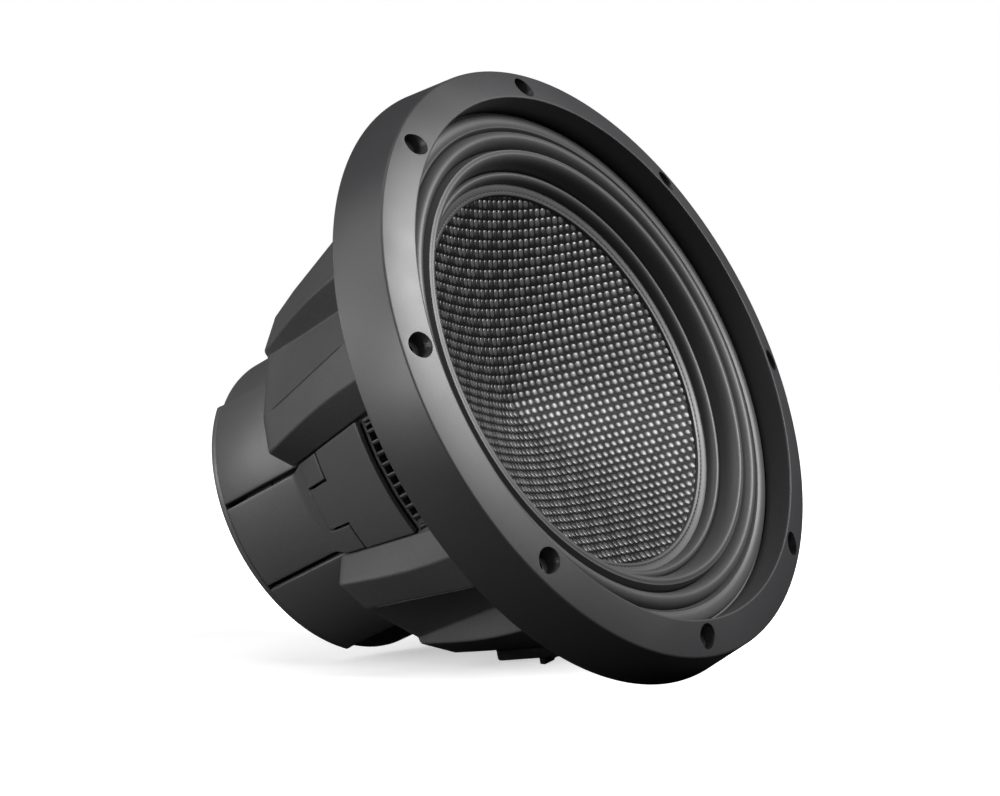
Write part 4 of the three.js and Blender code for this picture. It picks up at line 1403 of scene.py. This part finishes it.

# %% [markdown]
# ## Floor, lights and camera
# The speaker leans on the rear edge of its ring and on the rim of its motor, so in its own frame the floor
# is a tilted plane. A white floor would light black plastic from below and turn it grey, so this one looks
# white to the camera only and stays dark to the speaker. Near the middle it glows less, a painted shade
# round the speaker's foot, and the real contact shadow shows on top of it. Seen from underneath it is clear.

# %% Floor
FLOOR_UP = Vector((0.881, -0.2527, 0.3995)).normalized()
FLOOR_DROP = 68.3
floor_centre = FLOOR_UP * (-FLOOR_DROP * MM)
side_way = FLOOR_UP.orthogonal().normalized()
other_way = FLOOR_UP.cross(side_way)
FLOOR_REACH = 4.0
# The dimmer glow near the middle is painted shade round the speaker, under its real contact shadow.
PAINTED_SHADE_GLOW, OPEN_GLOW, PAINTED_SHADE_RADIUS, OPEN_RADIUS = 0.5, 1.15, 0.09, 0.17  # glow near the middle and far from it
corners = [floor_centre + side_way * (a * FLOOR_REACH) + other_way * (b * FLOOR_REACH)
           for a, b in ((-1, -1), (1, -1), (1, 1), (-1, 1))]
floor_mesh = bpy.data.meshes.new("floor")
floor_mesh.from_pydata(corners, [], [(0, 1, 2, 3)])
floor = placed("floor", floor_mesh)
if floor_mesh.polygons[0].normal.dot(FLOOR_UP) < 0:
    floor_mesh.flip_normals()
floor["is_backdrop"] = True
print("floor:", round(2 * FLOOR_REACH, 1), "m across")

# %% [markdown]
# ## White paper
# A photographer's paper sweep is white because it is lit separately. Here a Light Path node does that: the
# camera sees a bright paper, and every other ray meets a dark one.

# %% The floor's white paper
paper = bpy.data.materials.new("white paper")
paper.use_nodes = True
paper.node_tree.nodes.clear()
white = node(paper, "ShaderNodeBsdfDiffuse", Color=(0.9, 0.9, 0.9, 1))
glow = node(paper, "ShaderNodeEmission", Color=(1, 1, 1, 1))
away = node(paper, "ShaderNodeVectorMath", operation="DISTANCE")
link(paper, node(paper, "ShaderNodeTexCoord").outputs["Object"], away.inputs[0])
away.inputs[1].default_value = floor_centre
# Glow is weaker near the middle: painted shade where the contact shadow falls.
strength = remap(paper, away.outputs["Value"], PAINTED_SHADE_GLOW, OPEN_GLOW, PAINTED_SHADE_RADIUS, OPEN_RADIUS)
link(paper, strength, glow.inputs["Strength"])
lit = node(paper, "ShaderNodeAddShader")
dark = node(paper, "ShaderNodeBsdfDiffuse", Color=(0.02, 0.02, 0.02, 1))
path = node(paper, "ShaderNodeLightPath")
seen = node(paper, "ShaderNodeMixShader")
clear = node(paper, "ShaderNodeBsdfTransparent")
side_mix = node(paper, "ShaderNodeMixShader")
surface = node(paper, "ShaderNodeOutputMaterial")
link(paper, white.outputs[0], lit.inputs[0])
link(paper, glow.outputs[0], lit.inputs[1])
link(paper, path.outputs["Is Camera Ray"], seen.inputs[0])
link(paper, dark.outputs[0], seen.inputs[1])
link(paper, lit.outputs[0], seen.inputs[2])
link(paper, node(paper, "ShaderNodeNewGeometry").outputs["Backfacing"], side_mix.inputs[0])
link(paper, seen.outputs[0], side_mix.inputs[1])
link(paper, clear.outputs[0], side_mix.inputs[2])
link(paper, side_mix.outputs[0], surface.inputs["Surface"])
floor_mesh.materials.append(paper)
print("paper:", len(paper.node_tree.nodes), "nodes")

# %% [markdown]
# ## World
# The same trick is used for the background. The dim part stands for light that a studio's walls send back.

# %% World: white to the camera, dim to the speaker
AMBIENT = 0.015
world = bpy.data.worlds.new("studio")
bpy.context.scene.world = world
world.use_nodes = True
world.node_tree.nodes.clear()
backdrop = node(world, "ShaderNodeBackground", Color=(1, 1, 1, 1))
ambient = node(world, "ShaderNodeBackground", Color=(1, 1, 1, 1), Strength=AMBIENT)
chooser = node(world, "ShaderNodeMixShader")
link(world, node(world, "ShaderNodeLightPath").outputs["Is Camera Ray"], chooser.inputs[0])
link(world, ambient.outputs[0], chooser.inputs[1])
link(world, backdrop.outputs[0], chooser.inputs[2])
link(world, chooser.outputs[0], node(world, "ShaderNodeOutputWorld").inputs["Surface"])
print("world:", len(world.node_tree.nodes), "nodes")

# %% [markdown]
# ## Camera
# A long lens from about a metre away keeps the ring's ellipse nearly free of perspective. The
# camera is levelled on the floor's normal, not on the speaker's axis, so it is turned by a matrix.

# %% Camera: a long lens that keeps the floor's normal upright
CAMERA_PLACE = Vector((14.4, 857.5, 701.0)) * MM
CAMERA_AIM = Vector((6.1, 46.7, 141.8)) * MM
camera_data = bpy.data.cameras.new("camera")
camera_data.lens = 86.03
camera_data.sensor_width = 36
camera_data.clip_end = 50
camera = placed("camera", camera_data)
look = (CAMERA_AIM - CAMERA_PLACE).normalized()
right = look.cross(FLOOR_UP).normalized()
up = right.cross(look)
camera.matrix_world = Matrix((right, up, -look)).transposed().to_4x4()
camera.location = CAMERA_PLACE
bpy.context.scene.camera = camera
print("camera is", round((CAMERA_PLACE - CAMERA_AIM).length, 3), "m from its aim")

# %% [markdown]
# ## Softboxes
# Black plastic shows its shape by what it mirrors, so each softbox stands where some surface mirrors it. The
# key, from the upper right, is the one that the ring's face and the dish mirror. The left ones light the
# ring's outer wall, the motor and the arms, and the front ones the rolls. Power is worked out from a
# radiance, so a softbox can change its size without looking brighter.

# %% Softboxes
MIDDLE = Vector((0, 0, 110)) * MM
LIGHT_DISTANCE = 1.5


def softbox(name, rightward, upward, backward, side, radiance):
    """A square light placed by the camera's right, up and back directions, aimed at the speaker."""
    direction = (right * rightward + up * upward - look * backward).normalized()
    data = bpy.data.lights.new(name, "AREA")
    data.shape = "RECTANGLE"
    data.size, data.size_y = side, side
    data.energy = radiance * math.pi * side * side
    light = placed(name, data)
    light.location = MIDDLE + direction * LIGHT_DISTANCE
    light.rotation_euler = direction.to_track_quat("Z", "Y").to_euler()
    light.visible_camera = False


SOFTBOXES = [  # name, right, up and back, side in metres, radiance
    ("key from upper right", 0.73, 0.68, 0.15, 0.55, 29),
    ("right", 0.86, 0.44, 0.3, 0.6, 4),
    ("front left", -0.7, -0.05, 0.7, 0.6, 6),
    ("upper front left", -0.7, 0.2, 0.65, 0.6, 7.4),
    ("left", -0.95, 0.2, 0.1, 0.5, 9),
    ("upper left", -0.78, 0.6, 0.15, 0.6, 4),
    ("top left", -0.3, 0.9, 0.2, 0.6, 4),
    ("upper front right", 0.4, 0.6, 0.7, 0.6, 5),
]
for row in SOFTBOXES:
    softbox(*row)
bpy.context.scene.view_settings.view_transform = "Standard"
print("softboxes placed:", len(SOFTBOXES))

# %% [markdown]
# ## Sizes and finish
# The visual pieces must fill the same space as the imported solids. Both boxes are printed side by side,
# in metres.

# %% Sizes and finish
visual_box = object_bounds()
sizes = {"cad": [list(map(float, c)) for c in cad_box], "visual": [list(map(float, c)) for c in visual_box]}
print("boxes:", sizes)
